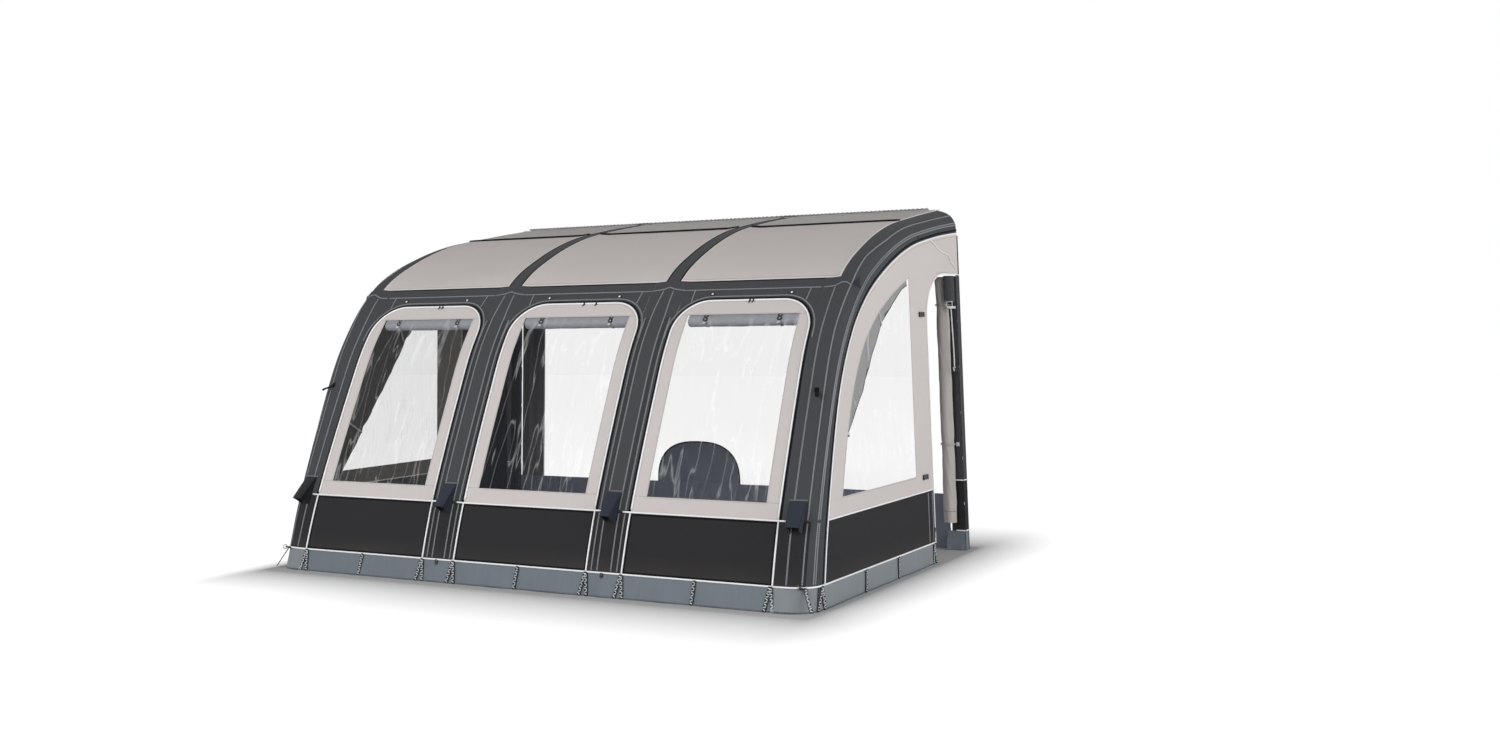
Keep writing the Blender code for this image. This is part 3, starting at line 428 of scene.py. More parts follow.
def point_on(place, a, b, out=0.0):
    """One point of a surface."""
    return place(np.array([a]), np.array([b]), np.array([out]))[0]


def along_line(points, step, closed=False):
    """Points at even steps along straight lines between points, each corner kept."""
    points = [np.array(point, float) for point in points]
    ends = points[1:] + points[:1] if closed else points[1:]
    made = []
    for start, end in zip(points, ends):
        count = max(1, math.ceil(np.linalg.norm(end - start) / step))
        made += [start + (end - start) * i / count for i in range(count)]
    if not closed:
        made.append(points[-1])
    return np.array(made)


def edge_distance(points, outline):
    """How far each flat point lies from the nearest line of an outline."""
    best = np.full(len(points), np.inf)
    for start, end in zip(outline, np.roll(outline, -1, axis=0)):
        line = end - start
        t = np.clip((points - start) @ line / max(line @ line, 1e-12), 0, 1)
        best = np.minimum(best, np.linalg.norm(points - start - t[:, None] * line, axis=1))
    return best


def inside(points, outline):
    """Which flat points lie inside an outline."""
    found = np.zeros(len(points), bool)
    for (x0, y0), (x1, y1) in zip(outline, np.roll(outline, -1, axis=0)):
        if y0 == y1:
            continue
        crosses = (y0 > points[:, 1]) != (y1 > points[:, 1])
        found ^= crosses & (points[:, 0] < (x1 - x0) * (points[:, 1] - y0) / (y1 - y0) + x0)
    return found


def flat_area(outline):
    """The area inside a flat outline."""
    x, y = np.array(outline).T
    return abs(np.dot(x, np.roll(y, -1)) - np.dot(y, np.roll(x, -1))) / 2


def cut_size(outline):
    """The sides of the smallest rectangle of cloth that a flat outline can be cut from."""
    points = np.array(outline, float)
    best = None
    for angle in np.radians(np.arange(0, 90, 3)):
        turn = np.array([[math.cos(angle), math.sin(angle)], [-math.sin(angle), math.cos(angle)]])
        turned = points @ turn.T
        size = turned.max(0) - turned.min(0)
        if best is None or size.prod() < best.prod() * 0.999:
            best = size
    return best


def cut_cloth(outline, step):
    """Triangles over a flat cut, and how far each of its points is from the edge."""
    corners = np.array(outline, float)
    edge = along_line(outline, step, closed=True)
    low, high = corners.min(0), corners.max(0)
    counts = np.maximum(np.round((high - low) / step), 1).astype(int)
    grid = np.stack(np.meshgrid(*[np.linspace(low[i], high[i], counts[i] + 1) for i in (0, 1)]), -1)
    grid = grid.reshape(-1, 2)
    grid = grid[inside(grid, corners)]
    grid = grid[edge_distance(grid, corners) > 0.45 * step]
    points = [Vector(point) for point in (*edge, *grid)]
    lines = [(i, (i + 1) % len(edge)) for i in range(len(edge))]
    made = delaunay_2d_cdt(points, lines, [], 0, 1e-6)
    flat = np.array([tuple(point) for point in made[0]])
    faces = np.array(made[2])
    centres = flat[faces].mean(1)
    return flat, faces[inside(centres, corners)], edge_distance(flat, corners)


def thicken(piece, finishes, settings):
    """Gives a cloth its thickness, with the second finish on its back where it has two."""
    thick = piece.modifiers.new("thickness", "SOLIDIFY")
    thick.thickness = settings.get("thickness", CLOTH)
    thick.offset = -1.0
    if isinstance(finishes, list):
        thick.material_offset = 1
    piece.modifiers.new("shading", "WEIGHTED_NORMAL")


def add_cloth(name, outline, place, finishes, body="awning", cad=(), relief=None, out=0.0, **settings):
    """A cloth cut from a flat outline and set on a surface with its relief."""
    flat, faces, edge = cut_cloth(outline, settings.get("step", STEP))
    raised = np.full(len(flat), out)
    if relief:
        raised = raised + relief(flat[:, 0], flat[:, 1], edge)
    points = place(flat[:, 0], flat[:, 1], raised)
    lifted = place(flat[:, 0], flat[:, 1], raised + 0.01)
    a, b, c = (points[faces[:, i]] for i in range(3))
    facing = (np.cross(b - a, c - a) * (lifted - points)[faces[:, 0]]).sum(1).mean()
    if facing < 0:
        faces = faces[:, ::-1]
    piece = add_piece(name, [(points, [faces], flat)], finishes, body, cad)
    thicken(piece, finishes, settings)
    width, length = cut_size(outline)
    area, boxed = flat_area(outline), width * length
    settings.get("held", "stretched")
    min(area, boxed)
    return piece


def heading(points, closed=False):
    """Unit vectors along a line of points in space."""
    if closed:
        return unit(np.roll(points, -1, axis=0) - np.roll(points, 1, axis=0))
    return unit(np.gradient(points, axis=0))


def sweep(place, path, section, out, scale=None):
    """A section of (sideways, outward) pairs swept along a path on a surface, as one part of a piece."""
    path = np.array(path, float)
    outs = np.broadcast_to(np.asarray(out, float), len(path))
    centre = place(path[:, 0], path[:, 1], outs)
    normal = unit(place(path[:, 0], path[:, 1], outs + 0.004) - centre)
    across = unit(np.cross(heading(centre), normal))
    section = np.array(section, float)
    sizes = np.ones(len(path)) if scale is None else np.asarray(scale)
    sideways = sizes[:, None, None] * section[None, :, :1] * across[:, None]
    outward = sizes[:, None, None] * section[None, :, 1:] * normal[:, None]
    rings = centre[:, None] + sideways + outward
    return tube_part(rings)


def tube_part(rings, closed=False):
    """A part through rings of points, with flat coordinates along and around it."""
    count, sides = rings.shape[:2]
    start = np.arange(count if closed else count - 1)[:, None] * sides
    follow = (start + sides) % (count * sides)
    i = np.arange(sides)[None]
    j = (i + 1) % sides
    quads = np.stack([start + i, start + j, follow + j, follow + i], -1).reshape(-1, 4)
    blocks = [quads]
    if not closed and sides > 2:
        blocks.append(np.arange(sides)[::-1][None])
        blocks.append(np.arange(sides)[None] + (count - 1) * sides)
    v = np.repeat(distances(rings.mean(1)), sides)
    u = np.tile(distances(rings[count // 2]), count)
    return rings.reshape(-1, 3), blocks, np.stack([u, v], -1)


def round_angles(count):
    """Angles at even steps once round a circle."""
    return np.arange(count) * 2 * math.pi / count


def round_section(radius):
    """A round cord's section."""
    angles = round_angles(8)
    return np.stack([radius * np.cos(angles), radius * np.sin(angles)], -1)


def flat_section(width, height):
    """A tape's section, with rounded shoulders."""
    half = width / 2
    head = [(half, height * 0.6), (half * 0.8, height), (-half * 0.8, height), (-half, height * 0.6)]
    return [(-half, 0.0), (half, 0.0)] + head


PIPING_SECTION = round_section(PIPING_RADIUS)


def stitches(place, path, out):
    """A row of stitches along a path on a surface, as one part."""
    path = along_line(path, STITCH_PITCH / 4)
    world = place(path[:, 0], path[:, 1], np.zeros(len(path)))
    run = distances(world)
    starts = np.arange(STITCH_PITCH / 2, run[-1] - STITCH_LENGTH, STITCH_PITCH)
    if len(starts) == 0:
        return None
    at = np.stack([starts, starts + STITCH_LENGTH], -1).ravel()
    a, b = (np.interp(at, run, path[:, i]) for i in (0, 1))
    outs = np.full(len(a), out)
    centre = place(a, b, outs)
    normal = unit(place(a, b, outs + 0.004) - centre)
    along = np.repeat(unit(centre[1::2] - centre[::2]), 2, axis=0)
    across = unit(np.cross(along, normal))
    foot, head = THREAD_WIDTH / 2 * across, THREAD_WIDTH / 4 * across
    ridge = centre + THREAD_HEIGHT * normal
    rings = np.stack([centre - foot, ridge - head, ridge + head, centre + foot], 1)
    base = np.arange(len(starts))[:, None] * 8
    quads = [base + np.array([k, k + 1, k + 5, k + 4])[None] for k in range(3)]
    quads += [base + np.array([3, 2, 1, 0])[None], base + np.array([4, 5, 6, 7])[None]]
    flat = np.repeat(np.stack([a, b], -1), 4, axis=0)
    return rings.reshape(-1, 3), [np.concatenate(quads)], flat


def add_stitches(name, place, paths, finish, body="awning", out=0.0):
    """Rows of stitches along paths on a surface."""
    parts = [part for part in (stitches(place, path, out) for path in paths) if part]
    return add_piece(name, parts, finish, body, smooth=False)


def add_seams(name, place, paths, width=SEAM_TAPE_WIDTH):
    """Seam tapes along paths, each with two rows of stitches."""
    tapes = [sweep(place, along_line(path, 0.03), flat_section(width, 0.0012), 0.0004) for path in paths]
    add_piece(f"{name}_tape", tapes, SEAM_TAPE)
    rows = []
    for path in paths:
        line = np.array(path, float)
        along = unit(np.gradient(line, axis=0))
        aside = np.stack([along[:, 1], -along[:, 0]], -1) * width * 0.32
        rows += [line + aside, line - aside]
    add_stitches(f"{name}_stitches", place, rows, THREAD, out=0.0014)


def add_sweeps(name, place, paths, section, finish, body="awning", out=0.0, step=0.02):
    """Piping, tape or edging along paths on a surface."""
    parts = [sweep(place, along_line(path, step), section, out) for path in paths]
    return add_piece(name, parts, finish, body)


# Materials


def feed(tree, socket, value):
    """Links a socket to another one, or sets it to a plain value."""
    if isinstance(value, bpy.types.NodeSocket):
        tree.links.new(value, socket)
    else:
        socket.default_value = value


def node(tree, kind, **inputs):
    """A node whose inputs are given by name, with underscores for spaces."""
    made = tree.nodes.new(kind)
    for name, value in inputs.items():
        feed(tree, made.inputs[name.replace("_", " ")], value)
    return made


def mix_colour(tree, share, first, second):
    """The first colour at share 0 and the second one at share 1."""
    made = tree.nodes.new("ShaderNodeMix")
    made.data_type = "RGBA"
    for index, value in ((0, share), (6, first), (7, second)):
        feed(tree, made.inputs[index], value)
    return made.outputs[2]


def maths(tree, operation, first, second=0.0, third=0.0):
    """The result of a sum on sockets or plain values."""
    made = tree.nodes.new("ShaderNodeMath")
    made.operation = operation
    for socket, value in zip(made.inputs, (first, second, third)):
        feed(tree, socket, value)
    return made.outputs[0]


def clamped(tree, value):
    """A value held between 0 and 1."""
    return maths(tree, "MINIMUM", maths(tree, "MAXIMUM", value, 0.0), 1.0)


def cloudy(tree, place, scale, detail):
    """Smooth random shades from 0 to 1."""
    return node(tree, "ShaderNodeTexNoise", Vector=place, Scale=scale, Detail=detail).outputs[0]


def bumped(tree, height, strength, distance, **below):
    """A surface raised by a height, over the bumps below it."""
    made = node(tree, "ShaderNodeBump", Height=height, Strength=strength, Distance=distance, **below)
    return made.outputs[0]


def flat_place(tree):
    """Where a point lies on the flat cloth."""
    flat = tree.nodes.new("ShaderNodeUVMap")
    flat.uv_map = "flat"
    return flat.outputs[0]


def object_place(tree):
    """Where a point lies on the object."""
    return tree.nodes.new("ShaderNodeTexCoord").outputs["Object"]


def linear(code):
    """A colour written as six hex digits, as linear values."""
    shares = [int(code[i : i + 2], 16) / 255 for i in (0, 2, 4)]
    return tuple(s / 12.92 if s <= 0.04045 else ((s + 0.055) / 1.055) ** 2.4 for s in shares) + (1.0,)


def scaled(colour, factor):
    """A colour made darker or paler, never past white."""
    return tuple(min(1.0, channel * factor) for channel in colour[:3]) + (1.0,)


def start_material(name, roughness, metallic=0.0, **sockets):
    """A material with its node tree and shader, whose other sockets are given by name."""
    made = bpy.data.materials.new(name)
    made.use_nodes = True
    tree = made.node_tree
    shader = tree.nodes["Principled BSDF"]
    shader.inputs["Roughness"].default_value = roughness
    shader.inputs["Metallic"].default_value = metallic
    for socket, value in sockets.items():
        shader.inputs[socket.replace("_", " ")].default_value = value
    return made, tree, shader


def thread_height(tree, flat, axis, pitch):
    """A wave across the threads that run along one axis of the flat cloth."""
    parts = node(tree, "ShaderNodeSeparateXYZ", Vector=flat)
    scaled_up = maths(tree, "MULTIPLY", parts.outputs[axis], 2 * math.pi / pitch)
    return maths(tree, "SINE", scaled_up)


def cloth_finish(
    name, code, pitch=0.0016, shade=0.08, roughness=0.8, sheen=0.05, relief=0.35, dust=0.0, gloss=0.25
):
    """Woven cloth: threads both ways, slow shade changes, faint specks, and dust low down."""
    made, tree, shader = start_material(name, roughness, Sheen_Weight=sheen, Specular_IOR_Level=gloss)
    colour = linear(code)
    flat, place = flat_place(tree), object_place(tree)
    warp, weft = (thread_height(tree, flat, axis, pitch) for axis in (0, 1))
    weave = maths(tree, "MULTIPLY", warp, weft)
    slow, fine = cloudy(tree, place, 2.2, 4.0), cloudy(tree, place, 90.0, 3.0)
    base = mix_colour(tree, slow, scaled(colour, 1 - shade / 2), scaled(colour, 1 + shade / 2))
    threads = maths(tree, "MULTIPLY_ADD", weave, 0.25, 0.5)
    base = mix_colour(tree, threads, base, scaled(colour, 0.90))
    specks = maths(tree, "MULTIPLY", fine, 0.16)
    base = mix_colour(tree, specks, base, scaled(colour, 1.25))
    if dust:
        height = node(tree, "ShaderNodeSeparateXYZ", Vector=place).outputs[2]
        low = maths(tree, "MAXIMUM", maths(tree, "MULTIPLY_ADD", height, -1 / DUST_HEIGHT, 1.0), 0.0)
        low = maths(tree, "MULTIPLY", maths(tree, "MULTIPLY", low, slow), dust)
        base = mix_colour(tree, low, base, linear("8a8377"))
    feed(tree, shader.inputs["Base Color"], base)
    bump = bumped(tree, weave, relief, 0.0004)
    feed(tree, shader.inputs["Normal"], bumped(tree, slow, 0.25, 0.010, Normal=bump))
    feed(tree, shader.inputs["Roughness"], maths(tree, "MULTIPLY_ADD", fine, 0.12, roughness - 0.06))
    return made


def film_finish(name, code, alpha, roughness, haze=0.12):
    """Clear or coated sheet plastic, with fine streaks and fold marks; on clear film the fold ridges are
    tinted near white as painted highlights.
    """
    gloss = 0.18 if alpha < 1.0 else 0.25
    made, tree, shader = start_material(name, roughness, Specular_IOR_Level=gloss)
    colour = linear(code)
    stretched = node(tree, "ShaderNodeMapping", Vector=flat_place(tree), Scale=(9.0, 1.2, 1.0)).outputs[0]
    streaks, creases = cloudy(tree, stretched, 3.0, 5.0), cloudy(tree, stretched, 1.1, 2.0)
    ridge = maths(tree, "ABSOLUTE", maths(tree, "SUBTRACT", creases, 0.5))
    ridge = maths(tree, "MAXIMUM", maths(tree, "MULTIPLY_ADD", ridge, -55.0, 1.0), 0.0)
    base = mix_colour(tree, streaks, scaled(colour, 0.92), scaled(colour, 1.08))
    if alpha < 1.0:
        veil = maths(tree, "MULTIPLY_ADD", streaks, haze, alpha - haze / 2)
        feed(tree, shader.inputs["Alpha"], maths(tree, "MULTIPLY_ADD", ridge, 0.05, veil))
        # Painted highlight: the fold ridges of clear film are tinted near white to stand for glints
        base = mix_colour(tree, ridge, base, linear("eceef0"))
    feed(tree, shader.inputs["Base Color"], base)
    height = maths(tree, "MULTIPLY_ADD", ridge, 0.4, streaks)
    feed(tree, shader.inputs["Normal"], bumped(tree, height, 0.20, 0.004))
    return made


def moulded_finish(name, code, roughness, metallic=0.0, grain=900.0, worn=0.25):
    """Moulded plastic, rubber or metal with a fine grain and paler worn patches."""
    made, tree, shader = start_material(name, roughness, metallic)
    colour = linear(code)
    place = object_place(tree)
    fine, patch = cloudy(tree, place, grain, 2.0), cloudy(tree, place, 40.0, 4.0)
    base = mix_colour(tree, maths(tree, "MULTIPLY", patch, worn), colour, scaled(colour, 1.8))
    feed(tree, shader.inputs["Base Color"], base)
    feed(tree, shader.inputs["Roughness"], maths(tree, "MULTIPLY_ADD", patch, 0.2, roughness - 0.1))
    feed(tree, shader.inputs["Normal"], bumped(tree, fine, 0.2, 0.0004))
    return made


LIGHT = cloth_finish("light_cloth", "cfc8c6")
# Painted shade: the light cloth's back is much darker than its face, for the shade inside the awning
LIGHT_BACK_PAINTED_SHADE = cloth_finish("light_cloth_back_painted_shade", "857f7c", roughness=0.6)
# The door's inner face: navy cloth, darkened to near black as painted shade for the inside of the awning
DOOR_BACK_PAINTED_SHADE = cloth_finish("door_cloth_back_painted_shade", "23252d", roughness=0.6)
REAR_FLAP = cloth_finish("rear_flap_cloth", "626062", roughness=0.6)
REAR_STRIP = cloth_finish("rear_strip_cloth", "bab6b3", pitch=0.003, relief=0.6)
DARK = cloth_finish("dark_cloth", "47484b", shade=0.14, sheen=0.02, gloss=0.12)
# Painted shade: the zip flaps are darker than the band's cloth, standing for the shade down the sides of a
# bulging band
FLAP = cloth_finish("zip_flap_painted_shade", "3c3d3f", shade=0.14, sheen=0.02, gloss=0.12)
DARK_BACK = cloth_finish("dark_cloth_back", "5c5b5a", roughness=0.6)
BLACK = cloth_finish("black_cloth", "2f2e30", shade=0.14, sheen=0.01, dust=0.25, gloss=0.08)
NAVY = cloth_finish("navy_cloth", "2b303c", shade=0.2, sheen=0.06, gloss=0.2)
BLIND = cloth_finish("blind_cloth", "a9abb2", pitch=0.0012, roughness=0.6, sheen=0.1)
SIDE_BLIND = cloth_finish("side_blind_cloth", "a9a8aa", pitch=0.0012, roughness=0.6, sheen=0.1)
# Painted shade: the blind's back is darkened for the shade inside the awning
BLIND_BACK_PAINTED_SHADE = cloth_finish("blind_cloth_back_painted_shade", "62605f", pitch=0.0012, roughness=0.6)
SLEEVE = cloth_finish("beam_sleeve", "77797c", pitch=0.0022, roughness=0.65)
PAD = cloth_finish("pad_cloth", "434446", pitch=0.002, sheen=0.03, gloss=0.1)
SEAM_TAPE = cloth_finish("seam_tape", "6b6d71", pitch=0.0042, relief=0.8, gloss=0.2)
ROOF_EDGE = moulded_finish("roof_edging", "dcd6d4", roughness=0.5, worn=0.05)
PIPING = moulded_finish("white_piping", "f2f2f4", roughness=0.35, worn=0.05)
THREAD = moulded_finish("grey_thread", "8e9094", roughness=0.7, grain=2500.0, worn=0.1)
PALE_THREAD = moulded_finish("pale_thread", "aaa5a2", roughness=0.7, grain=2500.0, worn=0.1)
EDGING = cloth_finish("black_edging", "161618", pitch=0.0030, relief=0.8, sheen=0.0, gloss=0.08)
PLASTIC = moulded_finish("black_plastic", "111112", roughness=0.45)
METAL = moulded_finish("stud_metal", "c9cacc", roughness=0.28, metallic=1.0, worn=0.1)
RING_METAL = moulded_finish("ring_metal", "8f8c88", roughness=0.4, metallic=1.0, worn=0.1)
RUBBER = moulded_finish("ladder_rubber", "1c1d20", roughness=0.6)
RUNG = moulded_finish("ladder_pale", "c9cdd2", roughness=0.5)
WEBBING = cloth_finish("white_webbing", "e6e6e8", pitch=0.0022, relief=0.8)
BEAD = moulded_finish("white_bead", "e9e9e7", roughness=0.45, worn=0.1)
FILM_CLEAR = film_finish("clear_film", "404246", 0.080, 0.06, 0.03)
SKIRT = film_finish("skirt_film", "687078", 1.0, 0.5)
# Painted light: a paler copy of the skirt film for the side skirts, which the side lamp lights
SIDE_SKIRT = film_finish("side_skirt_film_painted_light", "7c8287", 1.0, 0.5)
SKIRT_DARK = cloth_finish("draught_cloth", "6f7582", pitch=0.0025, shade=0.5, roughness=0.55, sheen=0.1)
# Painted shade: the hood's inside is near black, for the shade in its open mouth
PITCH = cloth_finish("hood_inside_painted_shade", "15161a", pitch=0.002, sheen=0.05)
SKIRT_HEM = film_finish("skirt_hem_film", "565d64", 1.0, 0.42)
# Painted shade: a darker copy of the light cloth for the rolled door and its ties, standing for the shade in
# its folds
LIGHT_FOLD_PAINTED_SHADE = cloth_finish("light_cloth_folded_painted_shade", "b5afac", pitch=0.0016)

LIGHT_PAIR = [LIGHT, LIGHT_BACK_PAINTED_SHADE]
DARK_PAIR = [DARK, DARK_BACK]
BLACK_PAIR = [BLACK, DARK_BACK]


# Bays


def arch_path(centre, inset):
    """A bay's arch from its right foot over the top to its left foot, as (x, run) pairs."""
    radius = ARCH_RADIUS - inset
    reach = HALF_BAY - ARCH_RADIUS
    points = []
    for turn, side in ((0.0, 1), (math.pi / 2, -1)):
        for step in range(ARCH_STEPS + 1):
            angle = turn + step / ARCH_STEPS * math.pi / 2
            x = centre + side * reach + radius * math.cos(angle)
            points.append((x, ARCH_FOOT_RUN + radius * math.sin(angle)))
    return points


def bay_path(centre, inset, foot):
    """Up one side of a bay, over its arch and down the other side."""
    half = HALF_BAY - inset
    return [(centre + half, foot)] + arch_path(centre, inset) + [(centre - half, foot)]


def rectangle(left, right, low, high):
    """A rectangle's four corners."""
    return [(left, low), (right, low), (right, high), (left, high)]


def side_border(centre, side, inset):
    """The strip of cloth beside a window, from the window's foot to its head, out to the zip."""
    window, edge = HALF_BAY - WINDOW_SIDE_BORDER, HALF_BAY - inset
    points = [(window, WINDOW_LOW), (edge, WINDOW_LOW)]
    points += [(x, run) for x, run in arch_path(0.0, inset) if x > 0 and run < WINDOW_HIGH]
    points += [(arch_reach(WINDOW_HIGH, inset), WINDOW_HIGH), (window, WINDOW_HIGH)]
    return [(centre + side * x, run) for x, run in points]


def arch_reach(run, inset):
    """Half the width of a bay's arch at a run."""
    radius = ARCH_RADIUS - inset
    return HALF_BAY - ARCH_RADIUS + math.sqrt(max(radius**2 - max(run - ARCH_FOOT_RUN, 0.0) ** 2, 0.0))


def taut(size, length, seed):
    """Relief for stretched cloth: short puckers that fade from the edges, and a slow waviness."""

    def relief(a, b, edge):
        puckers = noise(a / length, b / length, seed) * np.exp(-edge / 0.05)
        slow = noise(a / 0.35 + 7, b / 0.35, seed + 1)
        return size * (0.8 * puckers + 0.7 * slow) * np.clip(edge / 0.012, 0, 1)

    return relief


def creased(slant, lengths, seeds):
    """Relief for clear film: long soft folds that fade at its edges."""

    def relief(a, b, edge):
        across = a + slant * b
        folds = 0.0012 + 0.0026 * noise(across / 0.13, b / lengths[0], seeds[0])
        folds = folds + 0.0010 * noise(across / 0.05, b / lengths[1], seeds[1])
        return np.maximum(folds, -0.0008) * np.clip(edge / 0.05, 0, 1)

    return relief


def add_roof(place, centre):
    """A roof panel that dips a little between its beams, with the seam and the strip behind it."""
    lap = (BAND_WIDTH - ROOF_BAND_WIDTH) / 2
    if place == "middle":
        left, right = -HALF_BAY - lap + SEAM, HALF_BAY + lap - SEAM
    else:
        inner, outer = BAND_OUTER - lap + SEAM, CORNER_START + ROOF_CORNER_REACH - SEAM
        left, right = (inner, outer) if place == "right" else (-outer, -inner)

    def relief(x, run, edge):
        middle = np.maximum(1 - ((x - centre) / HALF_BAY) ** 2, 0.0)
        rise = np.sin(math.pi * np.clip((run - EAVE_RUN) / (ROOF_SEAM_RUN - EAVE_RUN), 0, 1))
        puckers = 0.0012 * noise(x / 0.045, run / 0.30, 11) * np.exp(-(run - EAVE_RUN) / 0.12)
        slow = 0.0022 * noise(x / 0.30, run / 0.22, 12)
        return (-0.011 * middle * rise + puckers + slow) * np.clip(edge / 0.03, 0, 1)

    cad = [f"roof_{place}"]
    main = rectangle(left, right, EAVE_RUN + SEAM, ROOF_SEAM_RUN - SEAM)
    add_cloth(f"roof_cloth_{place}", main, on_front, LIGHT_PAIR, cad=cad, relief=relief)
    finishes, relief = [REAR_STRIP, LIGHT_BACK_PAINTED_SHADE], taut(0.001, 0.06, 13)
    strip = rectangle(left, right, ROOF_SEAM_RUN + SEAM, ROOF_END_RUN)
    add_cloth(f"roof_rear_strip_{place}", strip, on_front, finishes, relief=relief)
    seam = [[(left, ROOF_SEAM_RUN), (right, ROOF_SEAM_RUN)]]
    add_sweeps(f"roof_seam_{place}", on_front, seam, flat_section(0.036, 0.0095), EDGING)
    eave = [[(left, EAVE_RUN + 0.005), (right, EAVE_RUN + 0.005)]]
    add_sweeps(f"eave_edging_{place}", on_front, eave, flat_section(0.009, 0.0026), ROOF_EDGE)
    edges = [[(x, EAVE_RUN + 0.004), (x, ROOF_END_RUN)] for x in (left + 0.005, right - 0.005)]
    add_sweeps(f"roof_edging_{place}", on_front, edges, flat_section(0.007, 0.0022), ROOF_EDGE)
    rows = [[(left, run), (right, run)] for run in (ROOF_SEAM_RUN - 0.028, EAVE_RUN + 0.018)]
    add_stitches(f"roof_stitches_{place}", on_front, rows, PALE_THREAD)


def add_cornice(place, centre):
    """The dark cloth over an arch, with its seams and the edging along the eave."""
    half = HALF_BAY - SEAM
    arch = [(x, run + SEAM) for x, run in arch_path(centre, 0.0)]
    arch[0], arch[-1] = (centre + half, arch[0][1]), (centre - half, arch[-1][1])
    outline = arch + [(centre - half, EAVE_RUN - SEAM), (centre + half, EAVE_RUN - SEAM)]
    relief = taut(0.0012, 0.05, 21)
    cad = [f"cornice_{place}"]
    add_cloth(f"cornice_cloth_{place}", outline, on_front, DARK_PAIR, cad=cad, relief=relief)
    rows = [[(centre - half, EAVE_SEAM_RUN), (centre + half, EAVE_SEAM_RUN)]]
    for side in (-1, 1):
        foot, head = centre + side * (HALF_BAY - 0.078), centre + side * (HALF_BAY - 0.070)
        rows.append([(foot, ARCH_TOP_RUN - 0.012), (head, EAVE_SEAM_RUN - 0.004)])
    add_seams(f"cornice_{place}", on_front, rows, width=0.007)
    edge = [[(centre - half, EAVE_RUN - 0.006), (centre + half, EAVE_RUN - 0.006)]]
    add_sweeps(f"cornice_edging_{place}", on_front, edge, flat_section(0.007, 0.0016), EDGING)


def add_zip(place, centre):
    """The zip's dark tape round a window panel, which also serves as painted shadow for the dark line beside
    the piping, and the seam on the cloth outside it.
    """
    foot = PIPING_RUN + 0.004
    tape = [bay_path(centre, -0.0085, foot)]
    add_sweeps(f"zip_tape_{place}", on_front, tape, flat_section(0.014, 0.0022), EDGING)
    add_seams(f"zip_{place}", on_front, [bay_path(centre, -0.029, ARCH_FOOT_RUN - 0.05)], width=0.007)


def add_front_panel(place, centre):
    """The light window panel with its borders, welded film and seams."""
    body = f"window_panel_{place}"
    inset = PANEL_INSET
    half = HALF_BAY - WINDOW_SIDE_BORDER
    cad = [f"front_panel_{place}"]
    reach = arch_reach(WINDOW_HIGH, inset)
    over = [point for point in arch_path(centre, inset) if point[1] > WINDOW_HIGH]
    top = [(centre + reach, WINDOW_HIGH)] + over + [(centre - reach, WINDOW_HIGH)]
    foot = rectangle(centre - HALF_BAY + inset, centre + HALF_BAY - inset, PIPING_RUN + inset, WINDOW_LOW)
    strips = {"top": top, "foot": foot}
    strips.update({f"{name}_border": side_border(centre, side, inset) for name, side in SIDES})
    relief = taut(0.0009, 0.04, 31)
    for name, outline in strips.items():
        add_cloth(f"panel_{name}_{place}", outline, on_front, LIGHT_PAIR, body, cad, relief)
    edge = [bay_path(centre, PIPING_RADIUS * 0.8, PIPING_RUN + 0.018)]
    add_sweeps(f"panel_piping_{place}", on_front, edge, PIPING_SECTION, PIPING, body, out=PIPING_OUT)
    rows = [bay_path(centre, 0.014, SEAM_FOOT_RUN)]
    aside = half + 0.006
    frame_line = rectangle(centre - aside, centre + aside, WINDOW_LOW - 0.006, WINDOW_HIGH + 0.006)
    rows.append(frame_line + frame_line[:1])
    add_stitches(f"panel_stitches_{place}", on_front, rows, PALE_THREAD, body)
    seams = []
    for side in (-1, 1):
        for run, end in ((WINDOW_LOW, HALF_BAY - 0.006), (WINDOW_HIGH, reach - 0.006)):
            seams.append([(centre + side * half, run), (centre + side * end, run)])
    add_sweeps(f"panel_seams_{place}", on_front, seams, flat_section(0.0028, 0.0006), PALE_THREAD, body)
    lap = 0.009
    pane = rectangle(centre - half - lap, centre + half + lap, WINDOW_LOW - lap, WINDOW_HIGH + lap)
    cad = [f"front_window_{place}"]
    relief = creased(0.45, (0.7, 0.5), (41 + len(place), 42))
    settings = {"thickness": FILM, "step": 0.018, "out": FILM_OUT}
    add_cloth(f"window_film_{place}", pane, on_front, FILM_CLEAR, body, cad, relief, **settings)


def add_lower_panel(place, centre):
    """The dark cloth under a window panel, edged all round."""
    half = HALF_BAY - SEAM
    outline = rectangle(centre - half, centre + half, SKIRT_RUN + SEAM, PIPING_RUN - SEAM)
    cad, relief = [f"lower_panel_{place}"], taut(0.0016, 0.06, 51)
    add_cloth(f"lower_cloth_{place}", outline, on_front, BLACK_PAIR, cad=cad, relief=relief)
    aside = half - 0.012
    edge = rectangle(centre - aside, centre + aside, SKIRT_RUN + 0.011, PIPING_RUN - 0.012)
    add_sweeps(f"lower_edging_{place}", on_front, [edge + edge[:1]], flat_section(0.010, 0.0012), EDGING)


def add_front_piping():
    """White piping: up both sides of each lower panel, across at the hinge seam and along the skirt."""
    parts = []

    def add_run(points, step, out=PIPING_OUT):
        parts.append(sweep(on_front, along_line(points, step), PIPING_SECTION, out))

    for _, centre in BAYS:
        for side in (-1, 1):
            x = centre + side * (HALF_BAY - PIPING_RADIUS * 0.2)
            add_run([(x, SKIRT_RUN), (x, PIPING_RUN)], 0.03)
        reach = HALF_BAY + PIPING_STUB
        add_run([(centre - reach, PIPING_RUN), (centre + reach, PIPING_RUN)], 0.02, 0.0025)
    reach = CORNER_START - SEAM
    add_run([(-reach, SKIRT_RUN), (reach, SKIRT_RUN)], 0.02)
    add_piece("front_piping", parts, PIPING)


# Bands over the beams


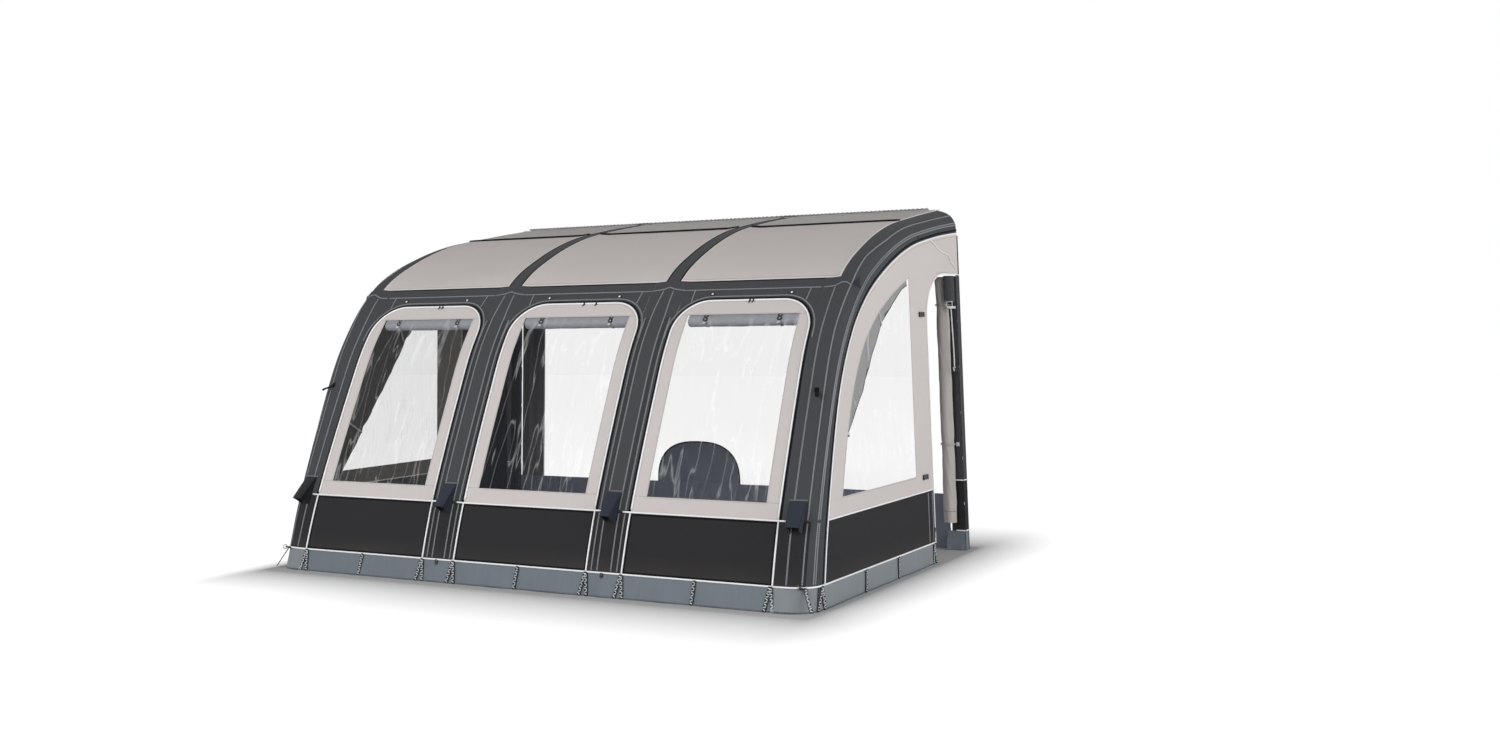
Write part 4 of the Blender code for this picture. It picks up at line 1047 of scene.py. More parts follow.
def add_middle_band(place, side):
    """The band over a middle beam: black below the hinge seam, dark above, narrow on the roof."""
    inner, outer = HALF_BAY + SEAM, BAND_OUTER - SEAM
    left, right = (inner, outer) if side > 0 else (-outer, -inner)
    cad, relief = [f"beam_band_{place}"], taut(0.0012, 0.05, 61)
    low = rectangle(left, right, SKIRT_RUN + SEAM, PIPING_RUN - SEAM)
    add_cloth(f"band_low_{place}", low, on_front, BLACK_PAIR, cad=cad, relief=relief)
    high = rectangle(left, right, PIPING_RUN + SEAM, EAVE_RUN - SEAM)
    add_cloth(f"band_high_{place}", high, on_front, DARK_PAIR, cad=cad, relief=relief)
    centre = side * BAND_MIDDLE
    half = ROOF_BAND_WIDTH / 2
    strip = rectangle(centre - half + SEAM, centre + half - SEAM, EAVE_RUN, ROOF_END_RUN)
    relief = taut(0.0008, 0.05, 62)
    add_cloth(f"band_roof_{place}", strip, on_front, DARK_PAIR, cad=cad, relief=relief)
    rows = []
    places = [left + share * (right - left) for share in BAND_LINE_SHARES]
    for x, lean_in in zip(places, (None, 0.012, -0.012, None)):
        rows.append([(x, SKIRT_RUN + 0.008), (x, PIPING_RUN - 0.008)])
        top = FLAP_TOP_RUN if lean_in is None else EAVE_SEAM_RUN - 0.004
        rows.append([(x, PIPING_RUN + 0.008), (x, top - 0.20), (x + (lean_in or 0.0), top)])
    hump = [(left, EAVE_SEAM_RUN), (places[1], EAVE_SEAM_RUN + 0.006), (centre, EAVE_SEAM_RUN + 0.024)]
    hump += [(places[2], EAVE_SEAM_RUN + 0.006), (right, EAVE_SEAM_RUN)]
    rows.append(hump)
    add_seams(f"band_{place}", on_front, rows)
    settings = {"relief": taut(0.0006, 0.05, 63), "out": 0.0014, "thickness": THIN_CLOTH}
    # The flaps over the zips: real flaps whose darker cloth is painted shade for the band's sides
    for first in (0, 2):
        ends = places[first] + 0.004, places[first + 1] - 0.004
        flap = rectangle(*ends, SEAM_FOOT_RUN, FLAP_TOP_RUN)
        add_cloth(f"flap_{first}_{place}", flap, on_front, [FLAP, DARK_BACK], **settings)
    reach = half - 0.006
    edges = [[(x, EAVE_RUN), (x, ROOF_END_RUN)] for x in (centre - reach, centre + reach)]
    add_sweeps(f"band_roof_cord_{place}", on_front, edges, flat_section(0.008, 0.0020), EDGING)


def add_corner_band(place, side):
    """The band that wraps a corner, with its lines of stitches, its zip and the piping of the side seam."""
    surface = corner_place(side)
    gap = float(corner_share(SEAM)) * CORNER_ARC
    split = CORNER_SPLIT_SHARE * CORNER_ARC
    start, end = gap, CORNER_ARC - gap
    roof_start = float(corner_share(ROOF_CORNER_REACH)) * CORNER_ARC + SEAM
    cuts = {
        "front_low": (start, split, SKIRT_RUN + SEAM, PIPING_RUN - SEAM),
        "side_low": (split + SEAM, end, SKIRT_RUN + SEAM, PIPING_RUN - SEAM),
        "high": (start, end, PIPING_RUN + SEAM, EAVE_RUN - SEAM),
        "roof": (roof_start, end, EAVE_RUN, ROOF_END_RUN),
    }
    settings = {"cad": [f"corner_band_{place}"], "relief": taut(0.0014, 0.06, 71)}
    for name, limits in cuts.items():
        finishes = BLACK_PAIR if name == "front_low" else DARK_PAIR
        add_cloth(f"corner_{name}_{place}", rectangle(*limits), surface, finishes, **settings)
    rows = []
    for line in CORNER_LINES:
        path = [(share * CORNER_ARC, run) for share, run in line]
        rows.append([(path[0][0], SKIRT_RUN + 0.01), (path[0][0], PIPING_RUN - 0.006)])
        rows.append(path)
    rows.append([(share * CORNER_ARC, EAVE_SEAM_RUN + rise) for share, rise in CORNER_HUMP])
    add_seams(f"corner_{place}", surface, rows)

    def add_line(name, across, low, high, section, finish, out=0.0):
        add_sweeps(f"{name}_{place}", surface, [[(across, low), (across, high)]], section, finish, out=out)

    low, high, zip_tape = SKIRT_RUN + SEAM, ROOF_END_RUN, flat_section(0.013, 0.0022)
    add_line("corner_zip", 0.955 * CORNER_ARC, low, high, zip_tape, EDGING)
    add_line("side_seam_piping", 0.995 * CORNER_ARC, SKIRT_RUN, high, PIPING_SECTION, PIPING, PIPING_OUT)
    add_line("corner_roof_edging", roof_start, EAVE_RUN, high, flat_section(0.005, 0.0018), ROOF_EDGE)
    backing = flat_section(0.016, 0.0008)
    add_line("corner_seam_backing", 0.0, SKIRT_RUN, EAVE_RUN, backing, DARK_BACK, -0.0022)
    foot = [[(start, SKIRT_RUN), (end, SKIRT_RUN)]]
    add_sweeps(f"corner_skirt_piping_{place}", surface, foot, PIPING_SECTION, PIPING, out=PIPING_OUT)


# Side walls and doors


def edge_offset(inset):
    """The side edge curve moved in by an inset within the wall, as rows of (y, z)."""
    along = unit(np.gradient(SIDE_EDGE_CURVE, axis=0))
    return SIDE_EDGE_CURVE + inset * np.stack([along[:, 1], -along[:, 0]], axis=1)


def curve_part(inset, low_height, end_run, count):
    """Points of the side edge curve, moved in, from a height up to a run."""
    curve = edge_offset(inset)
    start = float(np.interp(low_height, curve[:, 1], RUNS))
    return [read_curve(curve, run) for run in np.linspace(start, end_run, count)]


def side_window(inset=0.0, count=40):
    """The side window's outline, its sharp rear foot first, then its curved edge from the sill up."""
    curve = edge_offset(SIDE_WINDOW_BORDER + inset)
    rear = DOOR_FRONT - POST_WIDTH - inset
    sill = PIPING_HEIGHT + SIDE_WINDOW_SILL + inset
    end = float(np.interp(rear, curve[:, 0], RUNS))
    return [(rear, sill)] + curve_part(SIDE_WINDOW_BORDER + inset, sill, end, count)


def door_path(inset, foot, rear=DOOR_REAR):
    """A door's edge from its rear foot over the arch to its front foot, as (y, z) pairs."""
    front = DOOR_FRONT + inset
    top = DOOR_HEIGHT - inset
    points = [(rear, foot), (rear, top)] if foot is not None else [(rear, top)]
    for step in range(13):
        angle = math.pi / 2 * (1 + step / 12)
        y = front + DOOR_ARCH_WIDTH * (1 + math.cos(angle))
        points.append((y, top - DOOR_ARCH_HEIGHT + DOOR_ARCH_HEIGHT * math.sin(angle)))
    return points


def add_side_wall(place, side):
    """A side wall with its window and lower panel, and their piping, stitches and seams."""
    surface = wall_place(side)
    edge = curve_part(SEAM, PIPING_HEIGHT + SEAM, ROOF_END_RUN, 60)
    window = side_window()
    rear, sill = window[0]
    split = int(np.searchsorted([z for _, z in edge], sill))
    turn = int(np.searchsorted([y for y, _ in edge], rear))
    low, head = (edge[split][0], sill), (rear, edge[turn][1])
    strips = {
        "foot": edge[:split] + [low, (DOOR_FRONT, sill), (DOOR_FRONT, PIPING_HEIGHT + SEAM)],
        "border": edge[split:turn] + [head] + window[1:][::-1] + [low],
        "over_door": [head] + edge[turn:] + [(edge[-1][0], DOOR_HEIGHT)] + door_path(0.0, None)[1:],
    }
    strips["over_door"] += [(DOOR_FRONT, sill), (rear, sill)]
    settings = {"cad": [f"side_wall_{place}"], "relief": taut(0.0018, 0.07, 81)}
    for name, outline in strips.items():
        add_cloth(f"side_{name}_{place}", outline, surface, LIGHT_PAIR, **settings)
    cad, relief = [f"side_window_{place}"], creased(0.0, (0.5, 0.3), (82, 83))
    settings = {"cad": cad, "relief": relief, "out": FILM_OUT, "thickness": FILM}
    add_cloth(f"side_film_{place}", side_window(-0.009), surface, FILM_CLEAR, **settings)
    top = PIPING_HEIGHT - SEAM
    foot = curve_part(SEAM, SKIRT_HEIGHT + SEAM, float(np.interp(top, edge_offset(SEAM)[:, 1], RUNS)), 4)
    lower = foot + [(DOOR_FRONT, top), (DOOR_FRONT, SKIRT_HEIGHT + SEAM)]
    cad, relief = [f"side_lower_panel_{place}"], taut(0.0016, 0.06, 84)
    add_cloth(f"side_lower_cloth_{place}", lower, surface, BLACK_PAIR, cad=cad, relief=relief)

    lines = [[(foot[-1][0], PIPING_HEIGHT), (DOOR_FRONT, PIPING_HEIGHT)]]
    lines.append([(foot[0][0], SKIRT_HEIGHT), (DOOR_FRONT, SKIRT_HEIGHT)])
    add_sweeps(f"side_piping_{place}", surface, lines, PIPING_SECTION, PIPING, out=PIPING_OUT)
    arch = [(DOOR_FRONT - 0.003, SKIRT_HEIGHT)] + door_path(-0.003, None, DOOR_REAR + 0.04)[::-1]
    section = round_section(PIPING_RADIUS * 0.8)
    add_sweeps(f"door_piping_{place}", surface, [arch], section, PIPING, out=PIPING_OUT)
    window = side_window(-0.007)
    rows = [window + window[:1], curve_part(0.014, PIPING_HEIGHT, ROOF_END_RUN - 0.02, 60)]
    rows.append([(y - 0.012, z) for y, z in door_path(-0.012, None)][::-1])
    add_stitches(f"side_stitches_{place}", surface, rows, PALE_THREAD)
    low, high = SKIRT_HEIGHT + 0.01, PIPING_HEIGHT - 0.01
    rows = [[(DOOR_FRONT - gap, low), (DOOR_FRONT - gap, high)] for gap in (0.028, 0.098)]
    add_seams(f"side_lower_{place}", surface, rows, width=0.012)
    rear_edge = [[(REAR - 0.008, DOOR_HEIGHT + 0.004), (REAR - 0.008, SIDE_EDGE_CURVE[-1, 1] - 0.012)]]
    add_sweeps(f"wall_rear_edging_{place}", surface, rear_edge, flat_section(0.014, 0.0030), EDGING)


# Beams inside the bands


def beam_frame(kind, side, runs):
    """Centres of a beam at runs, with unit vectors along it and out through the cloth it presses on."""
    if kind == "corner":
        skin, lifted = (on_corner(side, runs, 0.5, out) for out in (0.0, 0.01))
    else:
        skin, lifted = (on_front(np.full(len(runs), side * BAND_MIDDLE), runs, out) for out in (0.0, 0.01))
    outward = unit(lifted - skin)
    depth = CAD_CLOTH + (CORNER_BEAM_GAP if kind == "corner" else BEAM_GAP) + BEAM_RADIUS
    centre = skin - depth * outward
    along = np.gradient(centre, axis=0)
    along = unit(along - (along * outward).sum(-1, keepdims=True) * outward)
    return centre, along, outward


def add_beam(place, side, kind):
    """An air beam in its woven sleeve, blown up tight, with a seam along its inner side."""
    name = f"{place}_{kind}"
    runs = np.concatenate([[0.0, 0.10], np.linspace(0.2, RUNS[-1] - 0.05, 52), [RUNS[-1] - BEAD_TAPE_WIDTH]])
    centre, along, outward = beam_frame(kind, side, runs)
    across = np.cross(along, outward)

    def ring(radius, angle):
        sizes = radius + 0.0006 * noise(runs[:, None] / 0.09, np.cos(angle)[None] * 2 + 5, 91)
        turned = sizes[..., None] * np.cos(angle)[None, :, None] * outward[:, None]
        rings = centre[:, None] + turned + sizes[..., None] * np.sin(angle)[None, :, None] * across[:, None]
        foot, head = rings[0], rings[-1]
        rings[0] = foot - along[0] * ((foot[:, 2:] - 0.0005) / along[0, 2])
        rings[-1] = head - along[-1] * ((head[:, 1:2] - (REAR - BEAD_TAPE_WIDTH)) / along[-1, 1])
        return rings

    sleeve = tube_part(ring(BEAM_RADIUS - 0.0008, round_angles(28)))
    beam = add_piece(f"beam_{name}", [sleeve], SLEEVE, cad=[f"air_beam_{name}"])
    outer, inner = (ring(BEAM_RADIUS + rise, np.linspace(2.55, 2.75, 3)) for rise in (0.0004, -0.0012))
    add_piece(f"beam_seam_{name}", [tube_part(np.concatenate([outer, inner[:, ::-1]], 1))], EDGING)


# Hoods, skirts and their fittings


def hood_place(kind, side):
    """The surface under a hood, as distances across from the hood's middle and runs."""
    if kind == "middle":
        return lambda across, run, out: on_front(side * BAND_MIDDLE + np.asarray(across), run, out)

    def place(across, run, out):
        across, run = np.broadcast_arrays(np.asarray(across, float), run)
        step = corner_skin(side, run, HOOD_CORNER_SHARE + 0.001) - corner_skin(side, run, HOOD_CORNER_SHARE)
        step = np.linalg.norm(step, axis=-1)
        return on_corner(side, run, HOOD_CORNER_SHARE + across / step * 0.001, out)

    return place


def grid_part(points, flip):
    """A part through rows of points, with flat coordinates in metres along the cloth."""
    rows, columns = points.shape[:2]
    i, j = np.meshgrid(np.arange(rows - 1), np.arange(columns - 1), indexing="ij")
    start = (i * columns + j).ravel()
    quads = np.stack([start, start + 1, start + columns + 1, start + columns], -1)
    if flip:
        quads = quads[:, ::-1]
    steps = [np.linalg.norm(np.diff(points, axis=axis), axis=-1) for axis in (1, 0)]
    u = np.concatenate([np.zeros((rows, 1)), np.cumsum(steps[0], axis=1)], axis=1)
    v = np.concatenate([np.zeros((1, columns)), np.cumsum(steps[1], axis=0)], axis=0)
    return points.reshape(-1, 3), [quads], np.stack([u, v], -1).reshape(-1, 2)


def add_folded(name, points, finishes, size, body="awning", cad=(), flip=False, **settings):
    """A cloth given as rows of points, and thickened; the flat size is not used."""
    piece = add_piece(name, [grid_part(points, flip)], finishes, body, cad)
    thicken(piece, finishes, settings)
    settings.get("held", "hung")
    settings.get("area")
    return piece


def tube(points, radius, closed=False):
    """A round cord through points in space, as one part."""
    points = np.array(points, float)
    along = heading(points, closed)
    start = np.eye(3)[np.argmin(np.abs(along[0]))]
    normals = []
    for direction in along:
        start = unit(start - direction * (start @ direction))
        normals.append(start)
    normals = np.array(normals)
    sideways = np.cross(along, normals)
    section = round_section(radius)
    rings = points[:, None] + section[:, :1] * normals[:, None] + section[:, 1:] * sideways[:, None]
    return tube_part(rings, closed)


def ribbon(points, across, width, thick, closed=False):
    """A flat strap through points in space, its width along a direction, as one part."""
    points = np.array(points, float)
    across = unit(np.broadcast_to(np.array(across, float), points.shape))
    along = heading(points, closed)
    across = unit(across - (across * along).sum(-1, keepdims=True) * along)
    normal = np.cross(across, along)
    half = width / 2
    section = [(-half, -0.3), (-half * 0.92, -0.5), (half * 0.92, -0.5), (half, -0.3), (half, 0.3)]
    section += [(half * 0.92, 0.5), (-half * 0.92, 0.5), (-half, 0.3)]
    rings = np.stack([points + a * across + b * thick * normal for a, b in section], 1)
    return tube_part(rings, closed)


def oval_ring(place, a, b, out, wide, high, radius):
    """An oval ring of round wire that lies on a surface, as one part."""
    angles, turns = round_angles(20)[:, None], round_angles(6)
    across = a + np.cos(angles) * (wide + radius * np.cos(turns))
    along = b + np.sin(angles) * (high + radius * np.cos(turns))
    outs = out + radius * np.sin(turns) + 0 * angles
    return tube_part(place(across, along, outs), closed=True)


def button(place, a, b, radius, height, out):
    """A low dome on a surface, as one part."""
    angles = round_angles(16)
    rings = []
    for share, lift in BUTTON_PROFILE:
        across, along = a + radius * share * np.cos(angles), b + radius * share * np.sin(angles)
        rings.append(place(across, along, np.full(len(angles), out + lift * height)))
    return tube_part(np.array(rings)[:, ::-1])


def block(place, a, b, wide, high, thick, out=0.0):
    """A small block with rounded shoulders that lies on a surface, as one part."""
    path = [(a, b - high / 2), (a, b - high * 0.45), (a, b + high * 0.45), (a, b + high / 2)]
    return sweep(place, path, flat_section(wide, thick), out, scale=[0.9, 1.0, 1.0, 0.9])


def add_hood(place, side, kind):
    """A vent hood: a flat front with a gusset each side, hemmed round its open mouth."""
    surface = hood_place(kind, side)
    top = run_at_height(HOOD_TOP_HEIGHT)
    s = np.linspace(0, 1, 16)[:, None]
    p = np.concatenate([np.linspace(0, 1, 7)[:-1], np.linspace(1, 2, 11)[:-1], np.linspace(2, 3, 7)])[None]
    base = (HOOD_TOP_WIDTH + s * (HOOD_BASE_WIDTH - HOOD_TOP_WIDTH)) / 2
    front = (HOOD_TOP_WIDTH + s * (HOOD_FRONT_WIDTH - HOOD_TOP_WIDTH)) / 2
    near, over, far = np.clip(p, 0, 1), np.clip(p - 1, 0, 1), np.clip(p - 2, 0, 1)
    share = near - far
    run = top - s * HOOD_LENGTH + share * s * HOOD_MOUTH_RISE
    across = -base + (base - front) * (near + far) + 2 * front * over
    tuck = 0.009 * s * (np.sin(math.pi * near) * (p < 1) - np.sin(math.pi * far) * (p > 2))
    belly = 0.004 * s * np.sin(math.pi * over)
    wobble = 0.0016 * s * noise(across / 0.03 + 9, s * 4 + p, 95 + side + len(kind))
    out = 0.002 + share * (0.0045 + s * HOOD_STAND_OFF) + belly + wobble
    points = surface(across + tuck, run, out)
    size = (HOOD_TOP_WIDTH + 2 * HOOD_STAND_OFF, HOOD_LENGTH)
    area = HOOD_LENGTH * ((HOOD_TOP_WIDTH + HOOD_FRONT_WIDTH) / 2 + HOOD_STAND_OFF)
    name = f"{place}_{kind}"
    cad = [f"vent_hood_{name}"]
    # The hood's inside takes the near-black painted shade
    add_folded(f"hood_{name}", points, [NAVY, PITCH], size, cad=cad, flip=True, area=area, held="stretched")
    hems = [tube(points[-1], 0.0016), tube(points[:, 6], 0.0011), tube(points[:, 16], 0.0011)]
    add_piece(f"hood_hem_{name}", hems, NAVY)
    half = HOOD_TOP_WIDTH / 2 + 0.004
    tape = [[(-half, top + 0.006), (half, top + 0.006)]]
    add_sweeps(f"hood_tape_{name}", surface, tape, flat_section(0.010, 0.0030), SEAM_TAPE)


def skirt_place(a, run, out):
    """The front skirt, whose foot stays on the ground."""
    points = on_front(a, run, out)
    points[..., 2] = np.maximum(points[..., 2], SKIRT_LOWEST)
    return points


def side_skirt_place(side):
    """The skirt round a corner and along the side, as distances from the front seam and runs."""

    def place(a, run, out):
        a, run, out = np.broadcast_arrays(np.asarray(a, float), run, out)
        points = on_corner(side, run, np.minimum(a / CORNER_ARC, 1.0), out)
        y, z = read_curve(SIDE_EDGE_CURVE, run)
        share = np.maximum(a - CORNER_ARC, 0.0) / SIDE_SKIRT_LENGTH
        flat = wall_place(side)(y + share * (DOOR_FRONT - y), z, out)
        points = np.where((a > CORNER_ARC)[..., None], flat, points)
        points[..., 2] = np.maximum(points[..., 2], SKIRT_LOWEST)
        return points

    return place


def slack(pegs, seed):
    """Relief of a loose skirt: it bellies between its pegs and puckers where they hold it."""

    def relief(a, run, edge):
        low = 1 - run / SKIRT_RUN
        near = np.min([np.abs(a - peg) for peg in pegs], axis=0)
        belly = 0.006 * np.clip(near / 0.15, 0, 1)
        puckers = 0.0035 * noise(a / 0.020, run / 0.3 + 3, seed) * np.exp(-near / 0.045)
        waves = 0.0045 * noise(a / 0.085, run / 0.16, seed + 1)
        return (belly + puckers + waves) * low - 0.002 * (1 - low)

    return relief


def ladder(place, top, foot, rails, rungs):
    """A rubber ladder strap from the skirt's piping down to its peg, added to lists of parts."""
    top, foot = np.array(top), np.array(foot)
    along = (foot - top) / np.linalg.norm(foot - top)
    across = np.array([along[1], -along[0]]) * 0.0080
    for side in (-1, 1):
        rail = along_line([top + side * across, foot + side * across], 0.012)
        rails.append(sweep(place, rail, flat_section(0.0062, 0.0050), 0.0022))
    for index, share in enumerate(np.arange(0.06, 1.0, 0.11)):
        middle = top + share * (foot - top)
        tilt = (foot - top) * (0.030 if index % 2 else -0.030)
        ends = [middle - across - tilt, middle, middle + across + tilt]
        rungs.append(sweep(place, ends, flat_section(0.0050, 0.0056), 0.0025))
    rails.append(block(place, *foot, 0.016, 0.010, 0.006, 0.002))
    rails.append(block(place, *top, 0.018, 0.012, 0.006, 0.002))


def leaning(place, reach):
    """The same surface for a strap that stands off it towards the foot by that reach."""
    return lambda a, run, out: place(a, run, out + reach * (1 - np.asarray(run) / SKIRT_RUN))


def standing(place, across, run):
    """The upright level that stands straight out of a surface at a place, as rise and outward."""
    return lambda a, b, out: place(across + out, run + a, b)


def add_skirt_hem(place, surface, ends, relief):
    """The hem at a skirt's foot, which follows the skirt's relief."""
    line = along_line([(x, 0.004) for x in ends], 0.02)
    outs = relief(line[:, 0], line[:, 1], None)
    add_piece(f"skirt_hem_{place}", [sweep(surface, line, flat_section(0.008, 0.0014), outs)], SKIRT_HEM)


def add_skirts():
    """The mud skirts with their hems, ladder straps and the tabs at the beams' feet."""
    rails, rungs, tabs, rings = [], [], [], []
    low, high = 0.003, SKIRT_RUN - 0.006
    lines = [-CORNER_START + 0.012, -BAND_OUTER, -HALF_BAY, HALF_BAY, BAND_OUTER, CORNER_START - 0.012]
    middles = [centre for place, centre in BAYS]
    for x in lines:
        for spread in (-0.026, 0.026):
            ladder(skirt_place, (x + spread * 0.1, high), (x + spread, low), rails, rungs)
    for x in middles:
        ladder(skirt_place, (x, high), (x - 0.004, low), rails, rungs)
    for x in FOOT_TAB_PLACES:
        tabs.append(block(skirt_place, x, SKIRT_RUN - 0.012, 0.020, 0.022, 0.006, 0.002))
        tabs.append(oval_ring(skirt_place, x, SKIRT_RUN - 0.026, 0.005, 0.007, 0.006, 0.0016))
    reach = CORNER_START - SEAM
    outline = rectangle(-reach, reach, 0.0, SKIRT_RUN - SEAM)
    settings = {"cad": ["mud_skirt_front"], "relief": slack(lines + middles, 101), "held": "hung"}
    add_cloth("skirt_front", outline, skirt_place, SKIRT, **settings)
    add_skirt_hem("front", skirt_place, (-reach, reach), settings["relief"])
    for place, side in SIDES:
        surface = side_skirt_place(side)
        end = CORNER_ARC + SIDE_SKIRT_LENGTH
        pegs = [0.49 * CORNER_ARC, 0.93 * CORNER_ARC, CORNER_ARC + 0.56, CORNER_ARC + 1.05, end - 0.02]
        ladder(leaning(surface, 0.052), (pegs[0], high), (pegs[0] + 0.035, low), rails, rungs)
        for spread in (-0.030, 0.034):
            ladder(surface, (pegs[1], high), (pegs[1] + spread, low), rails, rungs)
            ladder(surface, (pegs[4] - 0.01, high), (pegs[4] - 0.012 + spread * 0.8, low), rails, rungs)
        for peg in pegs[2:4]:
            ladder(surface, (peg, high), (peg + 0.002, low), rails, rungs)
        level = standing(surface, 0.36 * CORNER_ARC, SKIRT_RUN - 0.004)
        tabs.append(block(level, 0.0, 0.016, 0.011, 0.036, 0.024))
        rings.append(oval_ring(level, 0.0, 0.044, 0.0, 0.0125, 0.0135, 0.0027))
        web = along_line([(0.84 * CORNER_ARC, high), (0.84 * CORNER_ARC, low + 0.02)], 0.02)
        tabs.append(sweep(surface, web, flat_section(0.011, 0.002), 0.004))
        outline = rectangle(float(corner_share(SEAM)) * CORNER_ARC, end, 0.0, SKIRT_RUN - SEAM)
        settings = {"cad": [f"mud_skirt_{place}"], "relief": slack(pegs, 103), "held": "hung"}
        # The side skirts take the paler copy of the skirt film, as painted light
        add_cloth(f"skirt_{place}", outline, surface, SIDE_SKIRT, **settings)
        add_skirt_hem(place, surface, (0.01, end), settings["relief"])
    add_piece("ladder_rails", rails, RUBBER)
    add_piece("ladder_rungs", rungs, RUNG)
    add_piece("foot_tabs", tabs, PLASTIC)
    add_piece("foot_rings", rings, RING_METAL)


# Blinds


def add_window_blind(place, centre):
    """A blind rolled up at a window's head, drawn in by its two toggles."""
    body = f"window_panel_{place}"
    half = HALF_BAY - WINDOW_SIDE_BORDER - 0.004
    x = np.linspace(-half, half, 42)[:, None]
    pinch = 1 - 0.05 * sum(np.exp(-(((x - toggle) / 0.024) ** 2)) for toggle in TOGGLE_PLACES)
    turn = np.linspace(0.0, ROLL_TURNS * 2 * math.pi, ROLL_TURNS * 17)[None]
    radius = ROLL_RADIUS - (ROLL_RADIUS - 0.011) * turn / turn.max()
    radius = radius * pinch * (1 + 0.045 * noise(x / 0.10 + turn / 9, turn / 1.1, 111 + len(place)))
    run = WINDOW_HIGH - ROLL_RADIUS + ROLL_RISE - radius * np.sin(turn)
    out = -CAD_CLOTH - ROLL_RADIUS + radius * np.cos(turn)
    head_run = np.linspace(1, 0, 4)[:-1][None] * (WINDOW_HIGH + 0.007 - run[:, :1]) + run[:, :1]
    head_out = np.full_like(head_run, -0.0062)
    run, out = np.concatenate([head_run, run], 1), np.concatenate([head_out, np.minimum(out, -0.0062)], 1)
    points = on_front(centre + x + 0 * run, run, out)
    size = (2 * half, WINDOW_HIGH - WINDOW_LOW + 0.02)
    cad = [f"window_blind_{place}"]
    settings = {"held": "gathered", "thickness": THIN_CLOTH}
    add_folded(f"blind_{place}", points, [BLIND, BLIND], size, body, cad, **settings)
    straps, tabs, toggles, cores = [], [], [], []
    angles = round_angles(24)
    reach = ROLL_RADIUS * 0.95 + 0.002
    middle = WINDOW_HIGH - ROLL_RADIUS + ROLL_RISE
    for toggle in TOGGLE_PLACES:
        x = centre + toggle
        rings = []
        for width, lift in ((-0.006, 0.0), (0.006, 0.0), (0.006, 0.0014), (-0.006, 0.0014)):
            runs = middle + (reach + lift) * np.cos(angles)
            outs = np.minimum(-CAD_CLOTH - ROLL_RADIUS + (reach + lift) * np.sin(angles), -0.0056)
            rings.append(on_front(np.full(len(angles), x + width), runs, outs))
        straps.append(tube_part(np.stack(rings, 1), closed=True))
        tabs.append(block(on_front, x, middle - 0.034, 0.020, 0.014, 0.0014, -0.0056))
        toggles.append(oval_ring(on_front, x, middle - 0.007, -0.0060, 0.0135, 0.0108, 0.0052))
        toggles.append(oval_ring(on_front, x, middle + 0.0170, -0.0060, 0.0130, 0.0085, 0.0050))
        cores.append(block(on_front, x, middle - 0.007, 0.008, 0.005, 0.0012, -0.0056))
        cores.append(block(on_front, x, middle + 0.0170, 0.008, 0.003, 0.0012, -0.0056))
    add_piece(f"blind_straps_{place}", straps, BLIND, body)
    add_piece(f"blind_tabs_{place}", tabs, WEBBING, body)
    add_piece(f"blind_toggles_{place}", toggles, PLASTIC, body)
    add_piece(f"toggle_cores_{place}", cores, BEAD, body)


def add_side_blind(place, side):
    """The side window's blind, drawn to the curved edge in layers and tied back."""
    surface = wall_place(side)
    curve = np.array(side_window(0.0, 64)[1:])
    along = unit(np.gradient(curve, axis=0))
    inward = np.stack([along[:, 1], -along[:, 0]], -1)
    run = distances(curve)
    shares, widths = np.array(SIDE_BLIND_WIDTHS[place]).T
    width = np.interp(run / run[-1], shares, widths) + SIDE_BLIND_LAP
    tie_runs = [run[np.argmin(np.linalg.norm(curve - tie, axis=1))] for tie in SIDE_TIE_PLACES]
    width = width * (1 - 0.06 * sum(np.exp(-(((run - tie) / 0.03) ** 2)) for tie in tie_runs))
    width = (width + 0.004 * noise(run / 0.16, run * 0 + 0.5, 120))[:, None]
    phase = np.linspace(0, SIDE_BLIND_LAYERS, 72)[None]
    slant = run[:, None] + 0.6 * width * phase
    creases = 0.0026 * noise(slant / 0.050, phase * 1.5, 121)
    creases = creases + 0.0032 * noise(slant / 0.17 + 3, phase * 0.9, 122)
    turned = 0.5 - 0.5 * np.cos(math.pi * phase)
    across = turned * width - SIDE_BLIND_LAP
    out = -0.0085 - SIDE_BLIND_DEPTH * phase / SIDE_BLIND_LAYERS + creases
    points = surface(curve[:, :1] + across * inward[:, :1], curve[:, 1:] + across * inward[:, 1:], out)
    size = (run[-1], SIDE_BLIND_LAYERS * (SIDE_BLIND_LAP + max(widths)))
    area = SIDE_BLIND_LAYERS * float(((width[1:, 0] + width[:-1, 0]) / 2 @ np.diff(run)))
    cad = [f"side_blind_{place}"]
    finishes = [SIDE_BLIND, BLIND_BACK_PAINTED_SHADE]
    settings = {"held": "gathered", "thickness": THIN_CLOTH, "flip": side < 0}
    add_folded(f"side_blind_cloth_{place}", points, finishes, size, cad=cad, area=area, **settings)
    hem = points[:, int(72 / SIDE_BLIND_LAYERS)]
    add_piece(f"side_blind_hem_{place}", [tube(hem, 0.0032)], EDGING)
    parts = []
    for tie in tie_runs:
        i = int(np.argmin(np.abs(run - tie)))
        deep = SIDE_BLIND_DEPTH + 0.012
        reach = float(width[i, 0])
        edge = [(-0.006, -0.0045), (reach * 0.5, -0.0040), (reach + 0.002, -0.0045)]
        edge += [(reach + 0.006, -deep * 0.5), (reach + 0.002, -deep), (reach * 0.5, -deep - 0.002)]
        edge += [(0.0, -deep), (-0.008, -deep * 0.5)]
        points = []
        for a, out in edge:
            spot = curve[i] + (a - SIDE_BLIND_LAP) * inward[i] - a * 0.20 * along[i]
            points.append(point_on(surface, *spot, out))
        ahead, here = (point_on(surface, *(curve[i] + step * along[i])) for step in (0.01, 0.0))
        parts.append(ribbon(points, ahead - here, 0.013, 0.0016, closed=True))
    add_piece(f"side_blind_ties_{place}", parts, WEBBING)


# Doors and rear edges


